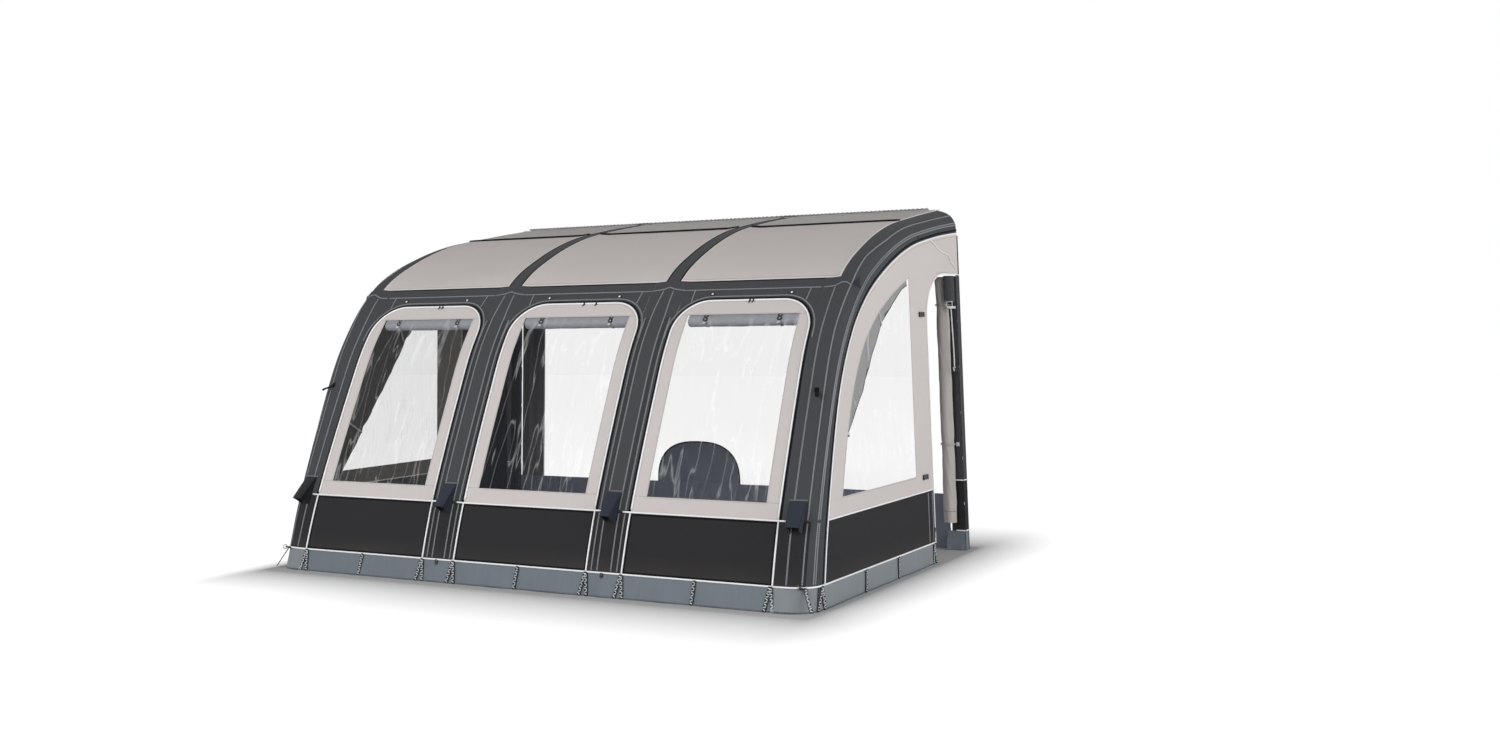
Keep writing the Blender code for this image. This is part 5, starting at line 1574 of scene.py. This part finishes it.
def add_left_door():
    """The left door, zipped shut, with its tape and stitches."""
    surface = wall_place(-1)
    outline = door_path(PANEL_INSET, DOOR_GROUND_GAP) + [(DOOR_FRONT + PANEL_INSET, DOOR_GROUND_GAP)]
    relief = taut(0.0030, 0.09, 131)
    add_cloth("door_cloth", outline, surface, [LIGHT, DOOR_BACK_PAINTED_SHADE], "door", ["door_left"], relief, held="hung")
    section = flat_section(0.010, 0.0018)
    edge = [(DOOR_FRONT + 0.007, DOOR_GROUND_GAP)] + door_path(0.007, None, DOOR_REAR - 0.004)[::-1]
    add_sweeps("door_zip_tape", surface, [edge], section, EDGING, "door")
    hem = [(DOOR_FRONT + 0.012, DOOR_GROUND_GAP + 0.012), (DOOR_REAR - 0.004, DOOR_GROUND_GAP + 0.012)]
    add_stitches("door_stitches", surface, [[(y + 0.012, z) for y, z in edge], hem], PALE_THREAD, "door")


def door_roll_centre(z):
    """Where the middle of the rolled door is at a height, as x and y."""
    return HALF_WIDTH - lean(z) - DOOR_ROLL_INSET, REAR - PAD_DEPTH - DOOR_ROLL_RADIUS - 0.0022


def on_roll(angle, z, radius, shift=0.0):
    """Points round the rolled door, which is a little wider than it is deep."""
    x, y = door_roll_centre(z)
    around = (x + shift + 1.12 * radius * np.cos(angle), y + radius * np.sin(angle), z)
    return np.stack(np.broadcast_arrays(*around), -1)


def add_door_roll():
    """The right door, rolled towards its dark hinge strip and hung under a flap and a buckle."""
    z = np.linspace(DOOR_ROLL_GROUND_GAP, DOOR_HEIGHT - DOOR_ROLL_TOP_GAP, 110)[:, None]
    turn = np.linspace(0.0, DOOR_ROLL_TURNS * 2 * math.pi, 100)[None]
    inner = turn / turn.max()
    pinch = 1.0
    for height, drawn, spread in zip(DOOR_TIE_HEIGHTS, (0.05, 0.10), (0.08, 0.09)):
        pinch = pinch - drawn * np.exp(-(((z - height) / spread) ** 2))
    folds = 0.0042 * np.cos(3 * turn + 1.6 * z) + 0.0030 * noise(turn * 1.3 + 2, z / 0.30, 141)
    creases = 0.0032 * noise(turn * 3.2 + z * 15, z / 0.34, 142)
    creases = creases + 0.0016 * noise(turn * 6 + z * 30, z / 0.2, 143)
    radius = DOOR_ROLL_RADIUS * pinch * (1 - 0.72 * inner) + (folds + creases - 0.002) * (1 - 0.8 * inner)
    points = on_roll(0.9 + turn, z, np.minimum(radius, DOOR_ROLL_RADIUS + 0.001))
    size = (DOOR_REAR - DOOR_FRONT, DOOR_HEIGHT - DOOR_GROUND_GAP)
    settings = {"held": "gathered", "flip": True}
    add_folded("door_roll", points, [LIGHT_FOLD_PAINTED_SHADE, LIGHT_FOLD_PAINTED_SHADE], size, cad=["door_roll_right"], **settings)
    hem = points[5, :36]
    add_piece("door_roll_hem", [ribbon(hem, (0, 0, 1), 0.004, 0.0022)], SEAM_TAPE)


def add_door_hinge():
    """The dark strip between the wall and the rolled door, with its piping and loose skirt."""
    share = np.linspace(0, 1, 8)[None]
    cad = ["door_roll_right"]
    zones = {
        "high": (PIPING_HEIGHT + 0.003, DOOR_HEIGHT - 0.012, DARK),
        "low": (SKIRT_HEIGHT + 0.003, PIPING_HEIGHT - 0.003, BLACK),
    }
    for name, (low, high, finish) in zones.items():
        height = np.linspace(low, high, max(8, int((high - low) / 0.03)))[:, None]
        end = on_roll(np.array([[0.9]]), height, DOOR_ROLL_RADIUS)
        x = (HALF_WIDTH - lean(height) - 0.002) * (1 - share) + end[..., 0] * share
        y = (DOOR_REAR - 0.004) * (1 - share) + end[..., 1] * share
        y = y - 0.003 * np.sin(share * math.pi) * (1 + 0.6 * noise(height / 0.12, share * 2, 144))
        strip = np.stack([x, y, height + 0 * x], -1)
        flat = (DOOR_HINGE_WIDTH, high - low)
        add_folded(f"door_hinge_{name}", strip, [finish, DARK_BACK], flat, cad=cad, flip=True)
    across = np.linspace(0.0, DOOR_HINGE_WIDTH, 6)
    for name, height in (("low", SKIRT_HEIGHT), ("high", PIPING_HEIGHT)):
        x = HALF_WIDTH - lean(height) - 0.002 - across
        line = np.stack([x, np.full(6, DOOR_REAR - 0.008), np.full(6, height)], -1)
        add_piece(f"door_hinge_piping_{name}", [tube(line, THIN_PIPING_RADIUS)], PIPING)
    height = np.linspace(0.002, SKIRT_HEIGHT - 0.003, 10)[:, None]
    x = HALF_WIDTH - lean(height) - 0.001 - 0.126 * share
    ripple = 0.006 * noise(share * 4, height / 0.05, 145)
    loose = (1 - height / SKIRT_HEIGHT) * (0.020 * share + ripple + 0.006)
    skirt = np.stack([x, DOOR_REAR - 0.006 - loose, height + 0 * x], -1)
    size = (2 * DOOR_HINGE_WIDTH, SKIRT_HEIGHT)
    add_folded("door_hinge_skirt", skirt, SKIRT, size, cad=cad, flip=True)


def add_door_buckle():
    """The flap that holds the rolled door, with its buckle and tail, the lock and the ties."""
    angle = np.linspace(-1.45, 0.55, 22)[None]
    height = np.linspace(FLAP_FOOT, DOOR_HEIGHT - 0.006, 12)[:, None]
    radius = DOOR_ROLL_RADIUS + 0.0055 + 0.0012 * noise(angle * 2, height / 0.05, 146)
    size = (2.0 * DOOR_ROLL_RADIUS * 1.15, DOOR_HEIGHT - FLAP_FOOT)
    flap = on_roll(angle, height, radius, FLAP_SHIFT)
    add_folded("door_roll_flap", flap, DARK_PAIR, size)
    reach = DOOR_ROLL_RADIUS + 0.007
    white, black = [], []
    bar = np.linspace(-1.25, 0.15, 12)
    for rise, width in ((-0.034, 0.016), (0.004, 0.004)):
        line = on_roll(bar[:7] if rise > 0 else bar, FLAP_FOOT + rise, reach, FLAP_SHIFT)
        white.append(ribbon(line, (0, 0, 1), width, 0.008))
    post = np.linspace(-0.036, 0.010, 5)
    for turned in (-1.25, -0.52):
        white.append(ribbon(on_roll(turned, FLAP_FOOT + post, reach, FLAP_SHIFT), (1, 0.3, 0), 0.006, 0.007))
    black.append(ribbon(on_roll(bar[3:7], FLAP_FOOT - 0.016, reach, FLAP_SHIFT), (0, 0, 1), 0.012, 0.004))
    drop = np.linspace(0.0, DOOR_TAIL_LENGTH, 24)
    start = on_roll(-0.75, FLAP_FOOT - 0.04, reach + 0.004, FLAP_SHIFT)
    tail = start + np.stack([0.010 * np.sin(drop * 5) + 0.030 * drop, -0.004 * np.sin(drop * 9), -drop], -1)
    turned = (0.8, 0.5, 0)
    white.append(ribbon(tail, turned, 0.0085, 0.0016))
    knot = tail[-1]
    ends = [knot + (0.0, -0.002, 0.0), knot + (0.004, -0.003, -0.026)]
    white.append(ribbon(ends, turned, 0.020, 0.005))
    ends = [knot + (0.010, -0.002, -0.004), knot + (0.012, -0.003, -0.030)]
    black.append(ribbon(ends, turned, 0.012, 0.006))
    lock = np.array([HALF_WIDTH - lean(LOCK_HEIGHT) - 0.034, DOOR_REAR - 0.012, LOCK_HEIGHT])
    for shift, parts in ((-0.014, black), (0.001, white), (0.013, white)):
        centre = lock + (shift, 0.0, 0.0)
        parts.append(ribbon([centre + (0, 0, -0.013), centre + (0, 0, 0.013)], (1, 0, 0), 0.009, 0.007))
    black.append(ribbon([lock + (-0.02, 0.001, 0), lock + (0.02, 0.001, 0)], (0, 0, 1), 0.006, 0.007))
    add_piece("door_buckle_white", white, WEBBING)
    add_piece("door_buckle_black", black, PLASTIC)
    loops = []
    for height in DOOR_TIE_HEIGHTS:
        loop = on_roll(round_angles(30), height, DOOR_ROLL_RADIUS * 0.93 + 0.002)
        loops.append(ribbon(loop, (0, 0, 1), 0.010, 0.0012, closed=True))
    add_piece("door_ties", loops, LIGHT_FOLD_PAINTED_SHADE)


def pad_outline(z):
    """The right rear pad's corners at a height."""
    wall = HALF_WIDTH - lean(z)
    outer, inner = wall - 0.003, wall - PAD_WIDTH
    return [(outer, REAR - PAD_DEPTH, z), (outer, REAR, z), (inner, REAR, z), (inner, REAR - PAD_DEPTH, z)]


def mesh_points(mesh):
    """The places of a mesh's points, as rows."""
    points = np.empty(len(mesh.vertices) * 3)
    mesh.vertices.foreach_get("co", points)
    return points.reshape(-1, 3)


def draw_in_channels(points):
    """Points of the swollen right pad, drawn in where it is sewn and kept inside its own box."""
    wall = HALF_WIDTH - lean(points[:, 2])
    nearest = np.min([np.abs(points[:, 2] - line) for line in PAD_CHANNELS], axis=0)
    pull = 0.007 * np.exp(-((nearest / 0.010) ** 2))
    centre = np.stack([wall - PAD_WIDTH / 2, np.full(len(wall), REAR - PAD_DEPTH / 2), points[:, 2]], -1)
    points = points + (centre - points) * (pull / PAD_DEPTH * 2)[:, None] * np.array([0.05, 1.0, 0.0])
    points[:, 1] = np.clip(points[:, 1], REAR - PAD_DEPTH, REAR)
    points[:, 0] = np.clip(points[:, 0], wall - PAD_WIDTH, wall - 0.0015)
    points[:, 2] = np.clip(points[:, 2], 0.0005, DOOR_HEIGHT)
    return points


def finish_pad(mesh):
    """Gives a pad's mesh its smooth look and its cloth."""
    mesh.shade_smooth()
    mesh.materials.clear()
    mesh.materials.append(PAD)


def add_rear_pads():
    """Padded uprights that press on the caravan, swollen by a short cloth simulation, with sewn channels."""
    inset = 0.004
    corners = np.array([pad_outline(height) for height in (0.004, DOOR_HEIGHT - 0.004)])
    shrink = np.array([inset / (PAD_WIDTH / 2), inset / (PAD_DEPTH / 2), 0])
    shrunk = (corners + (corners.mean(1, keepdims=True) - corners) * shrink).reshape(-1, 3)
    faces = [(0, 1, 5, 4), (1, 2, 6, 5), (2, 3, 7, 6), (3, 0, 4, 7), (3, 2, 1, 0), (4, 5, 6, 7)]
    right = add_object("rear_pad_cloth_right", [tuple(point) for point in shrunk], faces)
    swell(right, 0.010, 0.0085)
    points = draw_in_channels(mesh_points(right.data))
    right.data.vertices.foreach_set("co", points.ravel())
    faces = [tuple(face.vertices)[::-1] for face in right.data.polygons]
    left = add_object("rear_pad_cloth_left", [(-x, y, z) for x, y, z in points], faces)
    for (place, side), piece in zip(SIDES, (left, right)):
        finish_pad(piece.data)
        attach(piece, "awning")
        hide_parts(f"rear_pad_{place}")
        add_edge_strips(place, side)


def add_edge_strips(place, side):
    """The strip of cloth on the outer side of a rear pad, with its piping and cord."""
    surface = wall_place(side)
    zones = {
        "high": (PIPING_HEIGHT + SEAM, DOOR_HEIGHT - SEAM, DARK_PAIR),
        "low": (SKIRT_HEIGHT + SEAM, PIPING_HEIGHT - SEAM, BLACK_PAIR),
        "foot": (SKIRT_LOWEST, SKIRT_HEIGHT - SEAM, SKIRT),
    }
    settings = {"relief": taut(0.0008, 0.05, 151), "cad": [f"rear_pad_{place}"]}
    for name, (low, high, finishes) in zones.items():
        strip = rectangle(DOOR_REAR + SEAM, REAR, low, high)
        add_cloth(f"edge_strip_{name}_{place}", strip, surface, finishes, **settings)
    edges = [[(DOOR_REAR, height), (REAR, height)] for height in (SKIRT_HEIGHT, PIPING_HEIGHT)]
    section = round_section(THIN_PIPING_RADIUS)
    add_sweeps(f"edge_strip_piping_{place}", surface, edges, section, PIPING, out=0.001)
    edges = [[(REAR - 0.003, 0.002), (REAR - 0.003, DOOR_HEIGHT - 0.004)]]
    add_sweeps(f"edge_strip_cord_{place}", surface, edges, flat_section(0.005, 0.0030), SEAM_TAPE)


def swell(piece, pressure_cap, voxel):
    """Blows a closed form up like a stuffed one, with a cap on how far any point may move."""
    remesh = piece.modifiers.new("even", "REMESH")
    remesh.mode = "VOXEL"
    remesh.voxel_size = voxel
    apply_modifiers(piece)
    start = mesh_points(piece.data)
    cloth = piece.modifiers.new("swell", "CLOTH")
    cloth.settings.use_pressure = True
    cloth.settings.uniform_pressure_force = 4.0
    cloth.settings.effector_weights.gravity = 0.0
    cloth.settings.quality = 4
    cloth.settings.mass = 0.3
    for number in range(1, 15):
        bpy.context.scene.frame_set(number)
    apply_modifiers(piece)
    bpy.context.scene.frame_set(1)
    shift = mesh_points(piece.data) - start
    length = np.linalg.norm(shift, axis=1, keepdims=True)
    shift *= np.minimum(1.0, pressure_cap / np.maximum(length, 1e-9))
    piece.data.vertices.foreach_set("co", (start + shift).ravel())
    smooth = piece.modifiers.new("round", "SUBSURF")
    smooth.levels = smooth.render_levels = 1
    apply_modifiers(piece)


def apply_modifiers(piece):
    """Bakes a piece's modifiers into its mesh."""
    seen = piece.evaluated_get(bpy.context.evaluated_depsgraph_get())
    made = bpy.data.meshes.new_from_object(seen)
    piece.modifiers.clear()
    piece.data = made


def add_draught_skirt():
    """The rippled skirt that closes the gap under the caravan."""
    share = np.linspace(-1, 1, 260)[None]
    z = np.linspace(HANGING_LOWEST, DRAUGHT_HEIGHT, 16)[:, None]
    reach = HALF_WIDTH - lean(z) - PAD_WIDTH + 0.004
    fall = 1 - z / DRAUGHT_HEIGHT
    phase = share * 12 * math.pi + 0.8 * noise(share * 9, z * 3, 161)
    wave = DRAUGHT_WAVE * (0.55 + 0.45 * fall) * np.sin(phase)
    crumple = 0.0030 * noise(share * 34, z / 0.05, 162) * (0.3 + 0.7 * fall)
    points = np.stack([share * reach, HANGING_MIDDLE + wave + crumple, z + 0 * share], -1)
    size = (2 * HALF_WIDTH, DRAUGHT_HEIGHT)
    add_folded("draught_cloth", points, [SKIRT_DARK, SKIRT_DARK], size, cad=["draught_skirt"])


def add_wheel_cover():
    """The rounded cover over the caravan's wheel arch, edged all round."""
    straight = WHEEL_COVER_HEIGHT - WHEEL_COVER_ARCH
    half = WHEEL_COVER_WIDTH / 2
    cover = [(WHEEL_COVER_OFFSET - half, HANGING_LOWEST), (WHEEL_COVER_OFFSET + half, HANGING_LOWEST)]
    for angle in np.linspace(0, math.pi, 25):
        reach = math.copysign(abs(math.cos(angle)) ** WHEEL_COVER_POWER, math.cos(angle))
        rise = math.sin(angle) ** WHEEL_COVER_POWER
        cover.append((WHEEL_COVER_OFFSET + half * reach, straight + WHEEL_COVER_ARCH * rise))
    surface = plane_place(HANGING_FRONT)

    def relief(x, z, edge):
        return -0.002 + 0.0022 * noise(x / 0.12, z / 0.2, 163) * np.clip(edge / 0.03, 0, 1)

    settings = {"cad": ["wheel_arch_cover"], "relief": relief, "held": "hung"}
    add_cloth("wheel_cover_cloth", cover, surface, SKIRT_DARK, **settings)
    add_sweeps("wheel_cover_edging", surface, [cover[1:] + cover[:1]], flat_section(0.010, 0.002), EDGING)


def add_rear_flap():
    """The narrow flap that hangs at the rear behind the left door, with its edging and pull."""
    z = np.linspace(REAR_FLAP_GROUND_GAP, DOOR_HEIGHT, 60)[:, None]
    t = np.linspace(0, 1, 26)[None]
    x = t * REAR_FLAP_WIDTH - (HALF_WIDTH - lean(z) - PAD_WIDTH - 0.003)
    fall = 0.25 + 0.75 * (1 - (z - 0.3) / 1.56)
    folds = 0.0042 * np.sin(t * 5 * math.pi + 1.2 * noise(t * 2, z / 0.5, 164)) * fall
    points = np.stack([x, HANGING_FRONT + 0.002 + folds - 0.003, z + 0 * x], -1)
    size = (REAR_FLAP_WIDTH, DOOR_HEIGHT - REAR_FLAP_GROUND_GAP)
    add_folded("rear_flap", points, [REAR_FLAP, REAR_FLAP], size, cad=["rear_flap_left"])
    edge = points[:, -1] + (0.0, -0.002, 0.0)
    first, last = edge[12] + (0.0, -0.004, 0.0), edge[16] + (0.0, -0.004, 0.0)
    pull = ribbon(np.linspace(first, last, 6), (1, 0, 0), 0.016, 0.002)
    add_piece("rear_flap_edging", [ribbon(edge, (1, 0, 0), 0.010, 0.0018)], WEBBING)
    add_piece("rear_flap_pull", [pull], WEBBING)


# Small fittings


def add_rail_tape():
    """The white tape that puckers along the rail, sewn to the bead's tape."""
    reach = CORNER_START + CORNER_WIDTH / 2 - WALL_SET_IN
    x = np.linspace(-reach, reach, 700)[None]
    run = np.linspace(ROOF_END_RUN - 0.026, ROOF_END_RUN + 0.004, 7)[:, None]
    share = (run - run.min()) / (run.max() - run.min())
    ruffle = 0.0026 * np.sin(x * 2 * math.pi / 0.034 + 1.6 * noise(x / 0.11, share, 171)) * (1 - share)
    points = on_front(x + 0 * run, run + 0.8 * ruffle, 0.0028 + 0.0142 * (1 - share) + 0.9 * ruffle)
    add_folded("rail_tape", points, [WEBBING, WEBBING], (2 * reach, 0.030), held="gathered")


def add_eave_fittings():
    """Studs over the arches and zip sliders at the panels' heads."""
    studs, rings, sliders = [], [], []
    for x in STUD_PLACES:
        studs.append(button(on_front, x, STUD_RUN, 0.0082, 0.0060, out=0.001))
        rings.append(button(on_front, x - 0.002, STUD_RUN + 0.004, 0.0142, 0.0030, out=0.0005))
        rings.append(oval_ring(on_front, x, STUD_RUN + 0.002, 0.0030, 0.0115, 0.0125, 0.0030))
    for x in PANEL_SLIDER_PLACES:
        sliders.append(block(on_front, x, ARCH_TOP_RUN - 0.009, 0.012, 0.014, 0.006, 0.002))
        pull = [(x - 0.002, ARCH_TOP_RUN - 0.012), (x - 0.006, ARCH_TOP_RUN - 0.026)]
        sliders.append(sweep(on_front, pull, flat_section(0.008, 0.0026), 0.003))
    add_piece("eave_studs", studs, METAL)
    add_piece("eave_stud_rings", rings, PLASTIC)
    add_piece("panel_zip_sliders", sliders, PLASTIC)


def add_corner_fittings(place, side):
    """The strap that stands off a corner with its buckle, and the patch and ring for a guy line."""
    surface = corner_place(side)
    a, run = CORNER_STRAP_SHARES[place] * CORNER_ARC, CORNER_STRAP_RUN
    points = [point_on(surface, a + across, run + along, out) for across, along, out in STRAP_POINTS]
    across = point_on(surface, a + 0.01, run) - point_on(surface, a, run)
    patch = block(surface, a - 0.020, run + 0.026, 0.028, 0.024, 0.0016, 0.001)
    add_piece(f"corner_strap_{place}", [ribbon(points, across, 0.019, 0.0080), patch], EDGING)
    end = points[-2]
    down, wide = unit(points[-1] - end) * 0.008, unit(across) * 0.009
    ring = [end - wide - down, end + wide - down, end + wide + down, end - wide + down]
    buckle = [tube(ring + [(ring[0] + ring[3]) / 2], 0.0026, closed=True)]
    buckle.append(tube([end - wide, end, end + wide], 0.0024))
    add_piece(f"corner_buckle_{place}", buckle, PLASTIC)
    patch = [(share * CORNER_ARC, run) for share, run in GUY_PATCH]
    add_cloth(f"guy_patch_{place}", patch, surface, NAVY, out=0.0045, thickness=0.0016, step=0.01)
    share, run = GUY_RING
    ring = oval_ring(surface, share * CORNER_ARC, run, 0.007, 0.008, 0.008, 0.0020)
    add_piece(f"guy_ring_{place}", [ring], PLASTIC)


def add_wall_fittings(place, side):
    """The buckles on a wall beside its door, and the white line and mark near its head."""
    wall = wall_place(side)
    buckles, webs = [], []
    for y, z in POST_BUCKLES:
        for rise in (-0.012, 0.0, 0.012):
            path = [(y + shift, z + rise) for shift in (-0.036, -0.034, 0.034, 0.036)]
            buckles.append(sweep(wall, path, flat_section(0.0065, 0.009), 0.002))
        for shift in (-0.034, -0.004, 0.034):
            buckles.append(block(wall, y + shift, z, 0.012, 0.031, 0.009, 0.002))
        webs.append(block(wall, y - 0.019, z, 0.018, 0.022, 0.0050, 0.0015))
        webs.append(block(wall, y + 0.015, z, 0.020, 0.022, 0.0050, 0.0015))
    add_piece(f"post_buckles_{place}", buckles, PLASTIC)
    add_piece(f"post_webbing_{place}", webs, SEAM_TAPE)
    section = flat_section(0.011, 0.004)
    add_sweeps(f"wall_line_{place}", wall, [WALL_LINE], section, WEBBING, out=0.001, step=0.03)
    add_sweeps(f"wall_mark_{place}", wall, [WALL_MARK], flat_section(0.006, 0.002), EDGING)


# Floor, light and camera


def shader_tree(owner):
    """An empty node tree for a material or a world."""
    owner.use_nodes = True
    owner.node_tree.nodes.clear()
    return owner.node_tree


def lit_and_seen(tree, lit, seen, output):
    """Sends out one shader as the light it gives, and another one as what the camera sees."""
    ways = tree.nodes.new("ShaderNodeLightPath")
    share = maths(tree, "MAXIMUM", ways.outputs["Is Camera Ray"], ways.outputs["Is Glossy Ray"])
    share = maths(tree, "MAXIMUM", share, ways.outputs["Is Transmission Ray"])
    mixed = tree.nodes.new("ShaderNodeMixShader")
    for socket, value in zip(mixed.inputs, (share, lit.outputs[0], seen.outputs[0])):
        tree.links.new(value, socket)
    tree.links.new(mixed.outputs[0], tree.nodes.new(output).inputs[0])


def add_floor():
    """A pale floor that stays white to the camera and takes the awning's soft shadow, partly cast by the
    lamps and partly painted into its glow.
    """
    half = FLOOR_HALF
    corners = [(-half, -half, 0), (half, -half, 0), (half, half, 0), (-half, half, 0)]
    floor = add_object("floor", corners, [(0, 1, 2, 3)])
    floor.location.z = -0.001
    made = bpy.data.materials.new("floor_white")
    tree = shader_tree(made)
    diffuse = node(tree, "ShaderNodeBsdfDiffuse", Color=(0.82, 0.82, 0.82, 1.0))
    shaded = node(tree, "ShaderNodeBsdfDiffuse", Color=(0.50, 0.50, 0.50, 1.0))
    parts = node(tree, "ShaderNodeSeparateXYZ", Vector=object_place(tree))
    gaps = []
    left = maths(tree, "LESS_THAN", parts.outputs[0], 0.0)
    for index, half_size in ((0, HALF_WIDTH), (1, REAR)):
        gap = maths(tree, "SUBTRACT", maths(tree, "ABSOLUTE", parts.outputs[index]), half_size)
        pull = maths(tree, "MULTIPLY_ADD", left, 2.0, 2.0) if index == 0 else 1.0
        gap = maths(tree, "MULTIPLY", maths(tree, "MAXIMUM", gap, 0.0), pull)
        gaps.append(maths(tree, "MULTIPLY", gap, gap))
    away = maths(tree, "SQRT", maths(tree, "ADD", *gaps))
    # Painted shadow: the floor's glow fades towards the awning's footprint, so a soft shadow is painted
    # round its foot
    share = maths(tree, "DIVIDE", maths(tree, "SUBTRACT", away, FLOOR_PAINTED_SHADE_EDGE), FLOOR_PAINTED_SHADE_REACH)
    share = clamped(tree, share)
    strength = maths(tree, "MULTIPLY", maths(tree, "POWER", share, 0.62), FLOOR_GLOW)
    far = maths(tree, "MINIMUM", maths(tree, "DIVIDE", away, FLOOR_FAR_REACH), 1.0)
    strength = maths(tree, "MULTIPLY_ADD", far, FLOOR_FAR_GLOW, strength)
    # Painted light: more glow to the left of the awning lifts the shadow that the side lamp casts there
    past = clamped(tree, maths(tree, "MULTIPLY_ADD", parts.outputs[0], -1.0, -0.4))
    near = maths(tree, "MAXIMUM", maths(tree, "MULTIPLY_ADD", away, -0.4, 1.0), 0.0)
    past = maths(tree, "MULTIPLY", past, maths(tree, "MULTIPLY", share, near))
    strength = maths(tree, "MULTIPLY_ADD", past, FLOOR_LEFT_PAINTED_LIGHT, strength)
    glow = node(tree, "ShaderNodeEmission", Color=(1.0, 1.0, 1.0, 1.0), Strength=strength)
    both = tree.nodes.new("ShaderNodeAddShader")
    tree.links.new(shaded.outputs[0], both.inputs[0])
    tree.links.new(glow.outputs[0], both.inputs[1])
    lit_and_seen(tree, diffuse, both, "ShaderNodeOutputMaterial")
    floor.data.materials.append(made)


def add_world():
    """Even studio light from all round, white where the camera looks past the awning."""
    world = bpy.data.worlds.new("studio")
    bpy.context.scene.world = world
    tree = shader_tree(world)
    light = node(tree, "ShaderNodeBackground", Color=(1.0, 1.0, 1.0, 1.0), Strength=WORLD_STRENGTH)
    seen = node(tree, "ShaderNodeBackground", Color=(1.0, 1.0, 1.0, 1.0), Strength=1.0)
    lit_and_seen(tree, light, seen, "ShaderNodeOutputWorld")


def add_lamp(name, place, target, power):
    """A large square lamp that faces a target."""
    lamp = bpy.data.lights.new(name, "AREA")
    lamp.size = LAMP_SIZE
    lamp.energy = power
    holder = bpy.data.objects.new(name, lamp)
    holder.location = place
    holder.rotation_euler = (Vector(target) - Vector(place)).to_track_quat("-Z", "Y").to_euler()
    bpy.context.scene.collection.objects.link(holder)


def add_camera():
    """The photograph's viewpoint, with the field of view that fits its 1500 pixels of width."""
    data = bpy.data.cameras.new("camera")
    data.sensor_width = 36.0
    data.lens = CAMERA_FOCAL_PIXELS / PHOTO_WIDTH * data.sensor_width
    camera = bpy.data.objects.new("camera", data)
    turn = Matrix.Identity(3)
    for angle, axis in ((CAMERA_YAW, "Z"), (CAMERA_PITCH, "X"), (CAMERA_ROLL, "Y")):
        turn = turn @ Matrix.Rotation(angle, 3, axis)
    right, ahead, up = turn.col[0], turn.col[1], turn.col[2]
    basis = Matrix((right, up, -ahead)).transposed().to_4x4()
    camera.matrix_world = Matrix.Translation(CAMERA_PLACE) @ basis
    bpy.context.scene.collection.objects.link(camera)
    bpy.context.scene.camera = camera


# The whole scene


for place, centre in BAYS:
    add_roof(place, centre)
    add_cornice(place, centre)
    add_zip(place, centre)
    add_front_panel(place, centre)
    add_lower_panel(place, centre)
add_front_piping()
for place, side in SIDES:
    add_middle_band(place, side)
    add_corner_band(place, side)
for place, side in SIDES:
    add_side_wall(place, side)
for place, centre in BAYS:
    add_window_blind(place, centre)
for place, side in SIDES:
    add_side_blind(place, side)
    for kind in ("corner", "middle"):
        add_beam(place, side, kind)
        add_hood(place, side, kind)
add_skirts()
add_left_door()
add_door_roll()
add_door_hinge()
add_door_buckle()
add_rear_pads()
add_draught_skirt()
add_wheel_cover()
add_rear_flap()
add_rail_tape()
add_eave_fittings()
for place, side in SIDES:
    add_corner_fittings(place, side)
    add_wall_fittings(place, side)
for name, node_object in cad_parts.items():
    if name.startswith(("valve", "zip_slider")):
        node_object.data.materials[0] = PLASTIC
    elif name == "rail_beading":
        node_object.data.materials[0] = BEAD

add_camera()
add_floor()
add_world()
add_lamp("front_light", (-1.5, -9.4, 4.3), (0.0, -0.5, 1.0), FRONT_LIGHT_POWER)
add_lamp("side_light", (10.0, -1.0, 3.0), (1.0, 0.0, 1.0), SIDE_LIGHT_POWER)
bpy.context.scene.view_settings.view_transform = "Standard"
